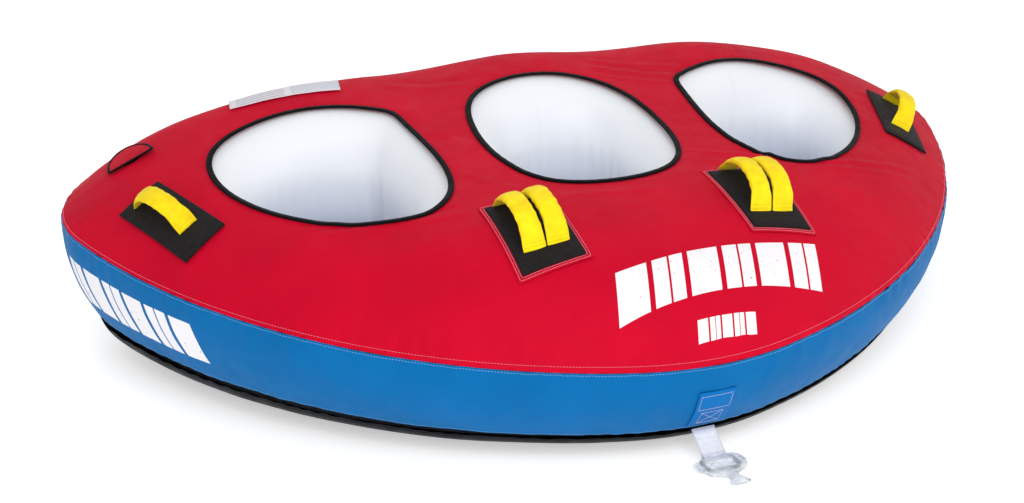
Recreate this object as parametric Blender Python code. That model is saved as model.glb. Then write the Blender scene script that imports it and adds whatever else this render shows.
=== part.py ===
"""Three-seat towable tube: an inflatable row of three cockpits in a sewn nylon cover.

Metres, +Z up.  X runs along the row of cockpits, -Y is the towed front and +Y the back.  The origin
is the point of the flat underside that lies below the middle cockpit.
"""

import math

import bmesh
import bpy
import numpy as np
from mathutils import Matrix, Vector
from mathutils.geometry import delaunay_2d_cdt

# --- plan of the seam between the top cover and the side band
WIDTH = 2.18                  # over the seam, end to end
REAR_Y = 0.50                 # the straight back edge
NOSE_Y = -0.70                # the front of the nose
CORNER_R = 0.26
NOSE_R = 0.64
NOSE_TURN = math.radians(15.11)                     # how far the nose's arc runs to each side
CENTRE_Y = 0.10               # the plan swells outwards from this point
LOWER_INSET = 0.060           # how far the lower seam lies inside the upper one

# --- heights
UPPER_SEAM_Z = 0.309          # at y = 0; both seams rise towards the back
UPPER_SEAM_RISE = 0.124       # per metre of y
LOWER_SEAM_Z = 0.100
LOWER_SEAM_RISE = 0.062
CROWN_Z = 0.490               # the top cover over the middle of the row
CROWN_RISE = 0.162            # per metre of y
CROWN_HOLLOW = 0.13           # how much the row rises again to its front and back, per square metre
CROWN_DROOP = 0.087           # how much the row droops to its ends, per square metre
SHOULDER = 7.3                # how squarely the top rounds over to the seam
DECK_STEP = 0.010             # how far the front deck lies below the seat row
DECK_STEP_Y = -0.29
DECK_STEP_RUN = 0.20
BACK_SWELL = 0.006            # the backrest behind each cockpit
FLAT_SHARE = 0.73             # the flat part of the underside, as a share of the lower seam's reach
BAND_BULGE = 0.020
SEAM_GAP = 0.002              # between the edges of two sewn panels
SHOULDER_RINGS = (0.020, 0.045, 0.070)           # where the skins bend most, inside the upper seam
KEEL_RINGS = (0.014, 0.040, 0.080, 0.130)        # and inside the lower seam

# --- skins
COVER_T = 0.0016
BLADDER_T = 0.0022
BLADDER_GAP = 0.010           # from the cover's outside to the bladder's outside
KEEL_GAP = 0.015              # the same under the bladder, where the harness runs

# --- cockpits
COCKPIT_PITCH = 0.50
MIDDLE_HALF_W = 0.222
MIDDLE_HALF_D = 0.273
MIDDLE_SQUARE = (0.0055, -0.0117)
SIDE_Y = 0.060
SIDE_X_WAVE = (0.207, 0.086, 0.035, -0.052)      # sin t, cos t, sin 2t, cos 2t
SIDE_Y_WAVE = (-0.069, 0.233, 0.062, -0.023)
WELL_LIP = 0.030              # how far the bladder's well starts outside the opening
WELL_BULGE = 0.088            # how far its wall swells in below the opening
WELL_DEPTH = 0.15             # the depth at which the wall swells furthest
FLOOR_Z = 0.300               # the crown of the inflated seat floor
FLOOR_CROWN = 0.030
FLOOR_CLEARANCE = 0.005
FLOOR_FOOT = 0.045            # how far the floor's foot is drawn in
FLOOR_HOLE = 0.10             # its inflation hole, as a share of the foot
BINDING_W = 0.013
BINDING_T = 0.005
BINDING_FIT = 0.0016

# --- handles
PAD_T = 0.003
PAD_LIFT = 0.0055             # from the cover to a pad laid on it
PATCH_LIFT = 0.0030
PATCH_T = 0.0010
DECK_PAD_X = 0.2545
DECK_PAD_Y = NOSE_Y + 0.315
DECK_PAD_W = 0.134
DECK_PAD_L = 0.200
DECK_PATCH_MARGIN = 0.011     # how far the red patch shows round the pad on the deck
DECK_HANDLE_SPREAD = 0.052    # between the middles of the two handles on one pad
END_PAD_X = WIDTH / 2 - 0.200
END_PAD_Y = 0.042
END_PAD_W = 0.100
END_PAD_L = 0.240
END_PAD_TURN = math.radians(22.0)
HANDLE_SPAN = 0.150
HANDLE_RISE = 0.040
HANDLE_SHIFT = 0.019          # each handle lies this far back from the middle of its pad
HANDLE_PIVOT_LIFT = 0.010     # the foot's hinge line above the pad
WEBBING_W = 0.025
WEBBING_T = 0.0030
SLEEVE_W = 0.045
SLEEVE_H = 0.018
SLEEVE_WALL = 0.0016
SLEEVE_START = 0.12           # share of the span left bare at each foot

# --- zipper in the back of the side band
ZIP_HALF = 0.31
ZIP_LOW = 0.44                # the window's lower and upper edge down the band, 0 upper seam, 1 lower
ZIP_HIGH = 0.56
TAPE_T = 0.0015
CHAIN_W = 0.006
CHAIN_T = 0.0024
ZIP_FIT = 0.0005
SLIDER_L = 0.016
SLIDER_WALL = 0.0014
SLIDER_X = ZIP_HALF - 0.025   # where the slider rests, at the closed end
BRIDGE_L = 0.0084
BRIDGE_W = 0.0024
BRIDGE_H = 0.0032
BRIDGE_T = 0.0014
PULL_L = 0.0300
PULL_W = 0.0092
PULL_T = 0.0012
PULL_ARM = 0.0016

# --- air valve at the left end
VALVE_X = -(WIDTH / 2 - 0.168)
VALVE_Y = REAR_Y - 0.160
VALVE_DEPTH = 0.016           # the bladder's flat seat below the cover
VALVE_BORE = 0.020
VALVE_FLANGE_R = 0.036
VALVE_FLANGE_T = 0.0018
VALVE_NECK_WALL = 0.0025
VALVE_H = 0.013
VALVE_FIT = 0.0006
INSERT_H = 0.0085
INSERT_WALL = 0.003
DIAPHRAGM_T = 0.0012
CAP_T = 0.0022
CAP_SKIRT = 0.007
TETHER_W = 0.0044
TETHER_T = 0.0016
ACCESS_R = 0.042              # the hole through the cover
FLAP_R = 0.056
FLAP_REACH = 1.55             # the flap's depth for each unit of its half width
FLAP_LIFT = 0.0035
FLAP_HINGE = -0.044
FLAP_T = 0.0012
FLAP_EDGE_W = 0.006
FLAP_EDGE_T = 0.0026

# --- tow point
TOW_W = 0.050
TOW_T = 0.0028
TOW_L = 0.060
TOW_EYE_R = 0.0085
TOW_RING_ROD = 0.004
TOW_RING_W = 0.070
TOW_RING_L = 0.046
TOW_RING_CORNER = 0.014
TOW_DROOP = math.radians(-38)
TOW_PATCH_W = 0.080
TOW_PATCH_T = 0.0014
TOW_PATCH_TOP = 0.34          # its upper and lower edge down the band
TOW_PATCH_FOOT = 0.92
FILM_T = 0.0015
HARNESS_W = 0.038
HARNESS_T = 0.0016
HARNESS_X = 0.64              # its back end, as a share of the half width
HARNESS_Y = REAR_Y - 0.30
HARNESS_LIFT = 0.0045         # above the outside of the bottom cover

# --- drain grommets and label
GROMMET_X = WIDTH / 2 - 0.64
GROMMET_Y = REAR_Y - 0.285
GROMMET_R = 0.009
GROMMET_FLANGE = 0.016
GROMMET_T = 0.0012
LABEL_X = -1.11 * COCKPIT_PITCH
LABEL_Y = REAR_Y - 0.138
LABEL_W = 0.25
LABEL_D = 0.055
LABEL_TURN = math.radians(11)
LABEL_LIFT = 0.004
LABEL_T = 0.0008


def clear_scene():
    for thing in list(bpy.data.objects):
        bpy.data.objects.remove(thing, do_unlink=True)


def material(name, colour, roughness, metallic=0.0):
    found = bpy.data.materials.get(name)
    if found:
        return found
    made = bpy.data.materials.new(name)
    made.use_nodes = True
    shader = made.node_tree.nodes["Principled BSDF"]
    shader.inputs["Base Color"].default_value = (*colour, 1.0)
    shader.inputs["Roughness"].default_value = roughness
    shader.inputs["Metallic"].default_value = metallic
    return made


RED = ("red_nylon", (0.60, 0.003, 0.022), 0.60)
BLUE = ("blue_nylon", (0.004, 0.18, 0.48), 0.60)
BLACK = ("black_nylon", (0.012, 0.012, 0.014), 0.65)
WHITE_PVC = ("white_pvc", (0.86, 0.89, 0.93), 0.28)
YELLOW = ("yellow_nylon", (0.86, 0.66, 0.01), 0.60)
NEOPRENE = ("black_neoprene", (0.02, 0.019, 0.02), 0.75)
WHITE_WEB = ("white_webbing", (0.82, 0.82, 0.84), 0.7)
FILM = ("clear_film", (0.75, 0.78, 0.80), 0.2)
VALVE_PLASTIC = ("valve_plastic", (0.70, 0.72, 0.74), 0.35)
BLACK_RUBBER = ("black_rubber", (0.02, 0.02, 0.02), 0.6)
BLACK_PLASTIC = ("black_plastic", (0.02, 0.02, 0.022), 0.4)
LABEL = ("label_fabric", (0.62, 0.61, 0.70), 0.6)
STEEL = ("stainless_steel", (0.6, 0.6, 0.6), 0.3, 1.0)


def finish(name, mesh, look, smooth=35.0):
    """Wrap a bmesh as a named object with its material."""
    bmesh.ops.recalc_face_normals(mesh, faces=mesh.faces)
    data = bpy.data.meshes.new(name)
    mesh.to_mesh(data)
    mesh.free()
    data.shade_smooth()
    data.set_sharp_from_angle(angle=math.radians(smooth))
    made = bpy.data.objects.new(name, data)
    bpy.context.collection.objects.link(made)
    made.data.materials.append(material(*look))
    return made


# --- plan ---------------------------------------------------------------------------------------

def outline_arcs():
    """Centres and junction angles of the corner, side and nose arcs of the right half.

    The side arc meets the corner's and the nose's arcs in tangents, so its radius follows from them.
    """
    corner = Vector((WIDTH / 2 - CORNER_R, REAR_Y - CORNER_R))
    nose = Vector((0.0, NOSE_Y + NOSE_R))
    gap = nose - corner
    over = NOSE_R - CORNER_R
    end = Vector((math.sin(NOSE_TURN), -math.cos(NOSE_TURN)))
    reach = (gap.length_squared - over ** 2) / (2 * (gap.dot(end) + over))
    side = nose - end * reach
    first = math.atan2(corner.y - side.y, corner.x - side.x)
    return corner, side, nose, first, NOSE_TURN - math.pi / 2, reach + NOSE_R


def outline(inset=0.0, corner_steps=10, side_steps=9, nose_steps=7):
    """The closed plan curve, clockwise from the middle of the back, moved inwards by inset."""
    corner, side, nose, first, second, side_r = outline_arcs()
    past_zip = corner.x - ZIP_HALF
    straight = [0.0, ZIP_HALF / 2] + [ZIP_HALF + past_zip * share for share in (0.0, 0.3, 0.6, 0.86, 1.0)]
    half = [(x, REAR_Y - inset) for x in straight]
    arcs = ((corner, CORNER_R, math.pi / 2, first, corner_steps),
            (side, side_r, first, second, side_steps),
            (nose, NOSE_R, second, -math.pi / 2, nose_steps))
    for centre, radius, start, end, steps in arcs:
        for step in range(1, steps + 1):
            angle = start + (end - start) * step / steps
            half.append((centre.x + (radius - inset) * math.cos(angle),
                         centre.y + (radius - inset) * math.sin(angle)))
    half[-1] = (0.0, NOSE_Y + inset)
    other = [(-x, y) for x, y in reversed(half[1:-1])]
    return np.array(half + other)


def reach_table(inset):
    """Angle and distance from the plan's centre to the curve, for reach()."""
    points = outline(inset, 60, 90, 60) - (0.0, CENTRE_Y)
    dense = []
    for a, b in zip(points, np.roll(points, -1, 0)):
        steps = 1 + int(np.hypot(*(b - a)) / 0.01)
        for step in range(steps):
            dense.append(a + (b - a) * step / steps)
    dense = np.array(dense)
    angle = np.arctan2(dense[:, 0], dense[:, 1])
    order = np.argsort(angle)
    return angle[order], np.hypot(dense[:, 0], dense[:, 1])[order]


UPPER_REACH = reach_table(0.0)
LOWER_REACH = reach_table(LOWER_INSET)


def share_and_edge(x, y, table):
    """How far out a point lies, 0 at the centre and 1 on the curve, and the y of the curve there."""
    dx, dy = x, y - CENTRE_Y
    angle = np.arctan2(dx, dy)
    reach = np.interp(angle, table[0], table[1], period=2 * math.pi)
    return np.hypot(dx, dy) / reach, CENTRE_Y + reach * np.cos(angle)


def smooth_step(value):
    value = np.clip(value, 0.0, 1.0)
    return value * value * (3 - 2 * value)


def top_z(x, y):
    """Outside of the top cover."""
    x, y = np.asarray(x, float), np.asarray(y, float)
    share, edge_y = share_and_edge(x, y, UPPER_REACH)
    seam = UPPER_SEAM_Z + UPPER_SEAM_RISE * edge_y
    crown = CROWN_Z + CROWN_RISE * y + CROWN_HOLLOW * y ** 2 - CROWN_DROOP * x ** 2
    crown = crown - DECK_STEP * smooth_step((DECK_STEP_Y - y) / DECK_STEP_RUN)
    swell = BACK_SWELL * np.cos(2 * math.pi * x / COCKPIT_PITCH)
    crown = crown + swell * smooth_step((y - 0.1) / 0.25) * smooth_step((0.95 - abs(x)) / 0.3)
    return seam + (crown - seam) * (1 - np.minimum(share, 1.0) ** SHOULDER)


def bottom_z(x, y):
    """Outside of the bottom cover: flat in the middle, curving up to the lower seam."""
    x, y = np.asarray(x, float), np.asarray(y, float)
    share, edge_y = share_and_edge(x, y, LOWER_REACH)
    seam = LOWER_SEAM_Z + LOWER_SEAM_RISE * edge_y
    out = np.clip((share - FLAT_SHARE) / (1 - FLAT_SHARE), 0.0, 1.0)
    return seam * (1 - np.sqrt(1 - out ** 2))


def band_point(down, inset=0.0):
    """Loop round the side band; down is 0 at the upper seam and 1 at the lower."""
    bulge = BAND_BULGE * 4 * down * (1 - down)
    points = outline(LOWER_INSET * down - bulge + inset)
    edge = outline()
    upper = UPPER_SEAM_Z + UPPER_SEAM_RISE * edge[:, 1]
    lower = LOWER_SEAM_Z + LOWER_SEAM_RISE * outline(LOWER_INSET)[:, 1]
    return np.c_[points, upper + (lower - upper) * down]


def surface_frame(x, y, height=top_z):
    """Point on a surface with its unit normal."""
    step = 0.004
    slope_x = (height(x + step, y) - height(x - step, y)) / (2 * step)
    slope_y = (height(x, y + step) - height(x, y - step)) / (2 * step)
    return Vector((x, y, float(height(x, y)))), Vector((-slope_x, -slope_y, 1.0)).normalized()


# --- openings -----------------------------------------------------------------------------------

def opening(seat, inset=0.0, steps=24):
    """Closed plan curve of a cockpit opening, seat -1, 0 or 1, moved inwards by inset."""
    turn = np.arange(steps) * 2 * math.pi / steps
    if seat == 0:
        x = MIDDLE_HALF_W * np.sin(turn) + MIDDLE_SQUARE[0] * np.sin(3 * turn)
        y = MIDDLE_HALF_D * np.cos(turn) + MIDDLE_SQUARE[1] * np.cos(3 * turn)
    else:
        waves = (np.sin(turn), np.cos(turn), np.sin(2 * turn), np.cos(2 * turn))
        x = COCKPIT_PITCH + sum(k * w for k, w in zip(SIDE_X_WAVE, waves))
        y = SIDE_Y + sum(k * w for k, w in zip(SIDE_Y_WAVE, waves))
    points = np.c_[x, y]
    along = np.roll(points, -1, 0) - np.roll(points, 1, 0)
    inward = np.c_[along[:, 1], -along[:, 0]] / np.hypot(*along.T)[:, None]
    points = points + inward * inset
    if seat == -1:
        points = points * (-1, 1)
    return points


def well_loop(seat, inset):
    """The opening drawn in towards its middle, by inset on average."""
    points = opening(seat)
    middle = points.mean(0)
    reach = np.hypot(*(points - middle).T).mean()
    return middle + (points - middle) * (1 - inset / reach)


def well_profile():
    """Inset and depth of the bladder's well wall, from under the cover to below the seat floor."""
    profile = [(-WELL_LIP, 0.0)]
    for step in range(1, 5):
        turn = math.pi / 2 * step / 4
        profile.append((-WELL_LIP + (WELL_LIP + WELL_BULGE) * math.sin(turn),
                        WELL_DEPTH * (1 - math.cos(turn))))
    return profile


# --- mesh helpers -------------------------------------------------------------------------------

def inside(point, loop):
    x, y = point
    hit = False
    for (x1, y1), (x2, y2) in zip(loop, np.roll(loop, -1, 0)):
        if (y1 > y) != (y2 > y) and x < x1 + (y - y1) * (x2 - x1) / (y2 - y1):
            hit = not hit
    return hit


def near(point, loop, gap):
    return np.min(np.hypot(loop[:, 0] - point[0], loop[:, 1] - point[1])) < gap


def plan_mesh(border, holes, spacing, height, mesh=None):
    """Triangulate the plan inside border and outside holes, and lift it to height(x, y)."""
    mesh = mesh or bmesh.new()
    loops = [border] + holes
    points, edges = [], []
    for loop in loops:
        start = len(points)
        points += [Vector(p) for p in loop]
        edges += [(start + i, start + (i + 1) % len(loop)) for i in range(len(loop))]
    low, high = border.min(0), border.max(0)
    row = 0
    y = low[1] + spacing / 2
    while y < high[1]:
        x = low[0] + spacing * (0.5 if row % 2 else 1.0)
        while x < high[0]:
            spot = (x, y)
            clear = all(not near(spot, loop, spacing * 0.55) for loop in loops)
            if clear and inside(spot, border) and not any(inside(spot, hole) for hole in holes):
                points.append(Vector(spot))
            x += spacing
        y += spacing * 0.87
        row += 1
    found, _, faces, _, _, _ = delaunay_2d_cdt(points, edges, [], 0, 1e-6)
    flat = np.array([tuple(p) for p in found])
    heights = height(flat[:, 0], flat[:, 1])
    corners = [mesh.verts.new((p[0], p[1], z)) for p, z in zip(flat, heights)]
    for face in faces:
        middle = flat[list(face)].mean(0)
        if inside(middle, border) and not any(inside(middle, hole) for hole in holes):
            mesh.faces.new([corners[i] for i in face])
    bmesh.ops.delete(mesh, geom=[v for v in mesh.verts if not v.link_faces], context="VERTS")
    return mesh


def add_loft(mesh, loops, skip=None):
    """Quads between successive closed loops of equal length."""
    rows = [[mesh.verts.new(tuple(p)) for p in loop] for loop in loops]
    for level, (upper, lower) in enumerate(zip(rows, rows[1:])):
        for i in range(len(upper)):
            j = (i + 1) % len(upper)
            if skip and skip(level, loops[level][i], loops[level][j]):
                continue
            mesh.faces.new((upper[i], upper[j], lower[j], lower[i]))
    return rows


def lifted(points, height):
    return np.c_[points, height(points[:, 0], points[:, 1])]


def thicken(made, thickness):
    """Give an open skin its thickness, inwards from the modelled face."""
    solid = made.modifiers.new("thickness", "SOLIDIFY")
    solid.thickness = thickness
    solid.offset = -1.0
    solid.use_even_offset = True
    return made


def closed_loft(mesh, loops, caps=True):
    rows = add_loft(mesh, loops)
    if caps:
        mesh.faces.new(list(reversed(rows[0])))
        mesh.faces.new(rows[-1])
    return mesh


def turned(mesh, profile, place, steps=18, closed=True):
    """Revolve (radius, height) points about the local Z axis of the matrix place."""
    rows = []
    for radius, height in profile:
        if radius < 1e-6:
            rows.append([mesh.verts.new(place @ Vector((0, 0, height)))])
            continue
        rows.append([mesh.verts.new(place @ Vector((radius * math.cos(t), radius * math.sin(t), height)))
                     for t in (2 * math.pi * k / steps for k in range(steps))])
    pairs = list(zip(rows, rows[1:]))
    if closed:
        pairs.append((rows[-1], rows[0]))
    for a, b in pairs:
        for k in range(steps):
            m = (k + 1) % steps
            corners = [a[k % len(a)], a[m % len(a)], b[m % len(b)], b[k % len(b)]]
            unique = list(dict.fromkeys(corners))
            if len(unique) > 2:
                mesh.faces.new(unique)
    return mesh


def box(mesh, place, low, high):
    """Axis-aligned block in the frame of the matrix place."""
    corners = [place @ Vector((x, y, z)) for z in (low[2], high[2]) for x, y in
               ((low[0], low[1]), (high[0], low[1]), (high[0], high[1]), (low[0], high[1]))]
    verts = [mesh.verts.new(c) for c in corners]
    for face in ((0, 3, 2, 1), (4, 5, 6, 7), (0, 1, 5, 4), (1, 2, 6, 5), (2, 3, 7, 6), (3, 0, 4, 7)):
        mesh.faces.new([verts[i] for i in face])
    return mesh


def slab(mesh, grid, normal_of, thickness):
    """Closed plate from a grid of points, thickened along the normal at each point."""
    rows, cols = len(grid), len(grid[0])
    low = [[mesh.verts.new(tuple(p)) for p in row] for row in grid]
    high = [[mesh.verts.new(tuple(Vector(p) + normal_of(p) * thickness)) for p in row] for row in grid]
    for r in range(rows - 1):
        for c in range(cols - 1):
            mesh.faces.new((low[r][c], low[r + 1][c], low[r + 1][c + 1], low[r][c + 1]))
            mesh.faces.new((high[r][c], high[r][c + 1], high[r + 1][c + 1], high[r + 1][c]))
    rim = [(0, c) for c in range(cols)] + [(r, cols - 1) for r in range(1, rows)]
    rim += [(rows - 1, c) for c in range(cols - 2, -1, -1)] + [(r, 0) for r in range(rows - 2, 0, -1)]
    for (r1, c1), (r2, c2) in zip(rim, rim[1:] + rim[:1]):
        mesh.faces.new((low[r1][c1], low[r2][c2], high[r2][c2], high[r1][c1]))
    return mesh


def on_axis(made, point):
    """Put the object's origin at a point on its joint's axis."""
    point = Vector(point)
    made.data.transform(Matrix.Translation(-point))
    made.location = point
    return made


def frame_matrix(origin, across, along, normal):
    columns = Matrix((across, along, normal)).transposed().to_4x4()
    return Matrix.Translation(origin) @ columns


# --- cover --------------------------------------------------------------------------------------

SEATS = {"left": -1, "middle": 0, "right": 1}


def valve_place():
    """Frame of the valve: its origin on the cover's outside, Z along the cover's normal."""
    point, normal = surface_frame(VALVE_X, VALVE_Y)
    across = Vector((1, 0, 0)) - normal * normal.x
    across.normalize()
    return frame_matrix(point, across, normal.cross(across), normal)


def circle_plan(place, radius, steps=12):
    """Plan points of a circle about the local Z axis of the matrix place."""
    ring = [place @ Vector((radius * math.cos(t), radius * math.sin(t), 0.0))
            for t in (-2 * math.pi * k / steps for k in range(steps))]
    return np.array([(p.x, p.y) for p in ring])


def valve_circle(radius):
    return circle_plan(valve_place(), radius)


def make_top_cover():
    holes = [opening(seat) for seat in SEATS.values()] + [valve_circle(ACCESS_R)]
    rings = [outline(inset) for inset in (SEAM_GAP / 2, *SHOULDER_RINGS)]
    mesh = bmesh.new()
    add_loft(mesh, [lifted(ring, top_z) for ring in rings])
    plan_mesh(rings[-1], holes, 0.075, top_z, mesh)
    bmesh.ops.remove_doubles(mesh, verts=mesh.verts, dist=0.0001)
    return thicken(finish("top_cover", mesh, RED), COVER_T)


def in_zip_window(level, a, b):
    reach = max(abs(a[0]), abs(b[0]))
    return level == 2 and reach < ZIP_HALF + 1e-6 and a[1] > CENTRE_Y


def make_side_band():
    edge = SEAM_GAP / 0.25
    mesh = bmesh.new()
    downs = (edge, 0.24, ZIP_LOW, ZIP_HIGH, 0.78, 1 - edge)
    add_loft(mesh, [band_point(down) for down in downs], skip=in_zip_window)
    return thicken(finish("side_band", mesh, BLUE), COVER_T)


def make_bottom_cover():
    rings = [outline(LOWER_INSET + inset) for inset in (SEAM_GAP, *KEEL_RINGS)]
    mesh = bmesh.new()
    add_loft(mesh, [lifted(ring, bottom_z) for ring in rings])
    plan_mesh(rings[-1], grommet_holes(), 0.11, bottom_z, mesh)
    bmesh.ops.remove_doubles(mesh, verts=mesh.verts, dist=0.0001)
    return thicken(finish("bottom_cover", mesh, BLACK), COVER_T)


GROMMETS = {"left": -GROMMET_X, "right": GROMMET_X}


def grommet_place(name):
    point, normal = surface_frame(GROMMETS[name], GROMMET_Y, bottom_z)
    normal = -normal
    across = Vector((1, 0, 0)) - normal * normal.x
    across.normalize()
    return frame_matrix(point, across, normal.cross(across), normal)


def grommet_holes():
    return [circle_plan(grommet_place(name), GROMMET_FLANGE, 10) for name in GROMMETS]


def make_grommets():
    """Drain eyelets set in the bottom cover, each a turned ring just inside its hole."""
    outer = GROMMET_FLANGE - COVER_T
    top = GROMMET_T / 2
    profile = [(GROMMET_R, -GROMMET_T), (outer, -GROMMET_T), (outer, top), (GROMMET_R, top)]
    for name in GROMMETS:
        mesh = turned(bmesh.new(), profile, grommet_place(name), 14)
        finish(f"drain_grommet_{name}", mesh, STEEL)


def make_bindings():
    for name, seat in SEATS.items():
        loops = []
        for inset, lift in ((BINDING_FIT, BINDING_T / 2), (BINDING_W, BINDING_T / 2 - 0.001),
                            (BINDING_W, -BINDING_T / 2), (BINDING_FIT, -BINDING_T / 2)):
            plan = opening(seat, inset)
            edge = opening(seat)
            loops.append(np.c_[plan, top_z(edge[:, 0], edge[:, 1]) + lift])
        mesh = bmesh.new()
        add_loft(mesh, loops + loops[:1])
        bmesh.ops.remove_doubles(mesh, verts=mesh.verts, dist=0.00001)
        finish(f"cockpit_binding_{name}", mesh, BLACK)


# --- bladder ------------------------------------------------------------------------------------

def bladder_top_z(x, y):
    """Top of the bladder, flat where the valve is welded on."""
    x, y = np.asarray(x, float), np.asarray(y, float)
    place = valve_place()
    normal = place.col[2].to_3d()
    seat = place.translation - normal * VALVE_DEPTH
    plane = seat.z - (normal.x * (x - seat.x) + normal.y * (y - seat.y)) / normal.z
    away = np.hypot(x - seat.x, y - seat.y)
    blend = smooth_step((away - VALVE_FLANGE_R - 0.012) / 0.04)
    return plane + (top_z(x, y) - BLADDER_GAP - plane) * blend


def bladder_bottom_z(x, y):
    return bottom_z(x, y) + KEEL_GAP


def make_main_bladder():
    gap = BLADDER_GAP
    top_rings = [outline(gap + inset) for inset in SHOULDER_RINGS[1:]]
    keel_rings = [outline(LOWER_INSET + gap + inset) for inset in KEEL_RINGS[1:]]
    mesh = bmesh.new()
    shoulder = band_point(0.0, gap + 0.008)
    shoulder[:, 2] -= 0.004
    foot = band_point(1.0, gap + 0.006)
    foot[:, 2] += 0.012
    rings = [lifted(ring, bladder_top_z) for ring in reversed(top_rings)]
    rings += [shoulder, band_point(0.34, gap), band_point(0.66, gap), foot]
    rings += [lifted(ring, bladder_bottom_z) for ring in keel_rings]
    add_loft(mesh, rings)
    seat_circle = valve_circle(VALVE_FLANGE_R + 0.005)
    bore_circle = valve_circle(VALVE_BORE - 0.002)
    add_loft(mesh, [lifted(seat_circle, bladder_top_z), lifted(bore_circle, bladder_top_z)])
    wells_top, wells_bottom = [], []
    for seat in SEATS.values():
        loops = []
        lip = well_loop(seat, -WELL_LIP)
        lip_z = top_z(lip[:, 0], lip[:, 1]) - gap
        for inset, depth in well_profile():
            loops.append(np.c_[well_loop(seat, inset), lip_z - depth])
        low = well_loop(seat, WELL_BULGE - 0.010)
        loops.append(np.c_[low, np.full(len(low), (FLOOR_Z - FLOOR_CROWN) * 0.45)])
        under = well_loop(seat, WELL_BULGE - 0.035)
        loops.append(lifted(under, bladder_bottom_z))
        add_loft(mesh, loops)
        wells_top.append(lip)
        wells_bottom.append(under)
    plan_mesh(top_rings[-1], wells_top + [seat_circle], 0.085, bladder_top_z, mesh)
    plan_mesh(keel_rings[-1], wells_bottom, 0.11, bladder_bottom_z, mesh)
    bmesh.ops.remove_doubles(mesh, verts=mesh.verts, dist=0.0001)
    return thicken(finish("main_bladder", mesh, WHITE_PVC), BLADDER_T)


def make_seat_floors():
    """Inflated floor of each cockpit: a tall crowned cushion that stands on the bottom cover."""
    side = WELL_BULGE + FLOOR_CLEARANCE
    rows = ((side + FLOOR_FOOT, KEEL_GAP), (side, KEEL_GAP + 0.02),
            (side, FLOOR_Z * 0.4), (side + 0.002, FLOOR_Z - FLOOR_CROWN * 1.4),
            (side + FLOOR_CROWN, FLOOR_Z - FLOOR_CROWN * 0.5), (side + 0.070, FLOOR_Z - 0.004))
    for name, seat in SEATS.items():
        loops = [np.c_[well_loop(seat, inset), np.full(len(opening(seat)), z)] for inset, z in rows]
        mesh = bmesh.new()
        made_rows = add_loft(mesh, loops)
        mesh.faces.new(made_rows[-1])
        fill_with_hole(mesh, made_rows[0])
        thicken(finish(f"seat_floor_{name}", mesh, WHITE_PVC), BLADDER_T)


def fill_with_hole(mesh, ring):
    """Close a ring of vertices with a face that has a small inflation hole in its middle."""
    middle = sum((v.co for v in ring), Vector()) / len(ring)
    small = [mesh.verts.new(middle + (v.co - middle) * FLOOR_HOLE) for v in ring]
    for i in range(len(ring)):
        j = (i + 1) % len(ring)
        mesh.faces.new((ring[i], ring[j], small[j], small[i]))


# --- handles ------------------------------------------------------------------------------------

def pad_frame(x, y, turn):
    """Frame on the deck: X across the pad, Y along it to the back, Z off the surface."""
    point, normal = surface_frame(x, y)
    along = Vector((math.sin(turn), math.cos(turn), 0.0))
    along = (along - normal * along.dot(normal)).normalized()
    return frame_matrix(point, along.cross(normal), along, normal)


def laid_plate(name, x, y, turn, width, length, lift, thickness, look, cols=4, rows=6):
    """Plate laid on the deck, following its curve."""
    grid = []
    for r in range(rows + 1):
        v = length * (r / rows - 0.5)
        row = []
        for c in range(cols + 1):
            u = width * (c / cols - 0.5)
            px = x + u * math.cos(turn) + v * math.sin(turn)
            py = y - u * math.sin(turn) + v * math.cos(turn)
            point, normal = surface_frame(px, py)
            row.append(point + normal * lift)
        grid.append(row)
    mesh = slab(bmesh.new(), grid, lambda p: surface_frame(p[0], p[1])[1], thickness)
    return finish(name, mesh, look)


def arch(share):
    """Height of a handle along its span, with feet that leave the pad steeply."""
    return HANDLE_RISE * (1 - abs(2 * share - 1) ** 2.6)


def handle_section(width, height, sides):
    """Rounded flat section across the handle."""
    points = []
    for k in range(sides):
        turn = 2 * math.pi * (k + 0.5) / sides
        points.append((width / 2 * math.copysign(abs(math.cos(turn)) ** 0.8, math.cos(turn)),
                       height / 2 * math.copysign(abs(math.sin(turn)) ** 0.8, math.sin(turn))))
    return points


def handle_loops(place, offset, start, end, steps, size, sides):
    """Cross-sections of a handle from share start to share end of its span."""
    loops = []
    for step in range(steps + 1):
        share = start + (end - start) * step / steps
        y = HANDLE_SPAN * (share - 0.5) + HANDLE_SHIFT
        z = PAD_LIFT + PAD_T + HANDLE_PIVOT_LIFT + arch(share)
        ahead = 0.002
        slope = math.atan2(arch(min(share + ahead, 1)) - arch(max(share - ahead, 0)),
                           HANDLE_SPAN * (min(share + ahead, 1) - max(share - ahead, 0)))
        width, height = size(share)
        loop = []
        for u, w in handle_section(width, height, sides):
            loop.append(place @ Vector((offset + u, y - w * math.sin(slope), z + w * math.cos(slope))))
        loops.append(loop)
    return loops


def foot_taper(share):
    """The webbing narrows to a small fold where it meets the pad."""
    near_foot = min(share, 1 - share)
    grow = float(smooth_step(near_foot / 0.10))
    return 0.35 + 0.65 * grow


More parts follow.
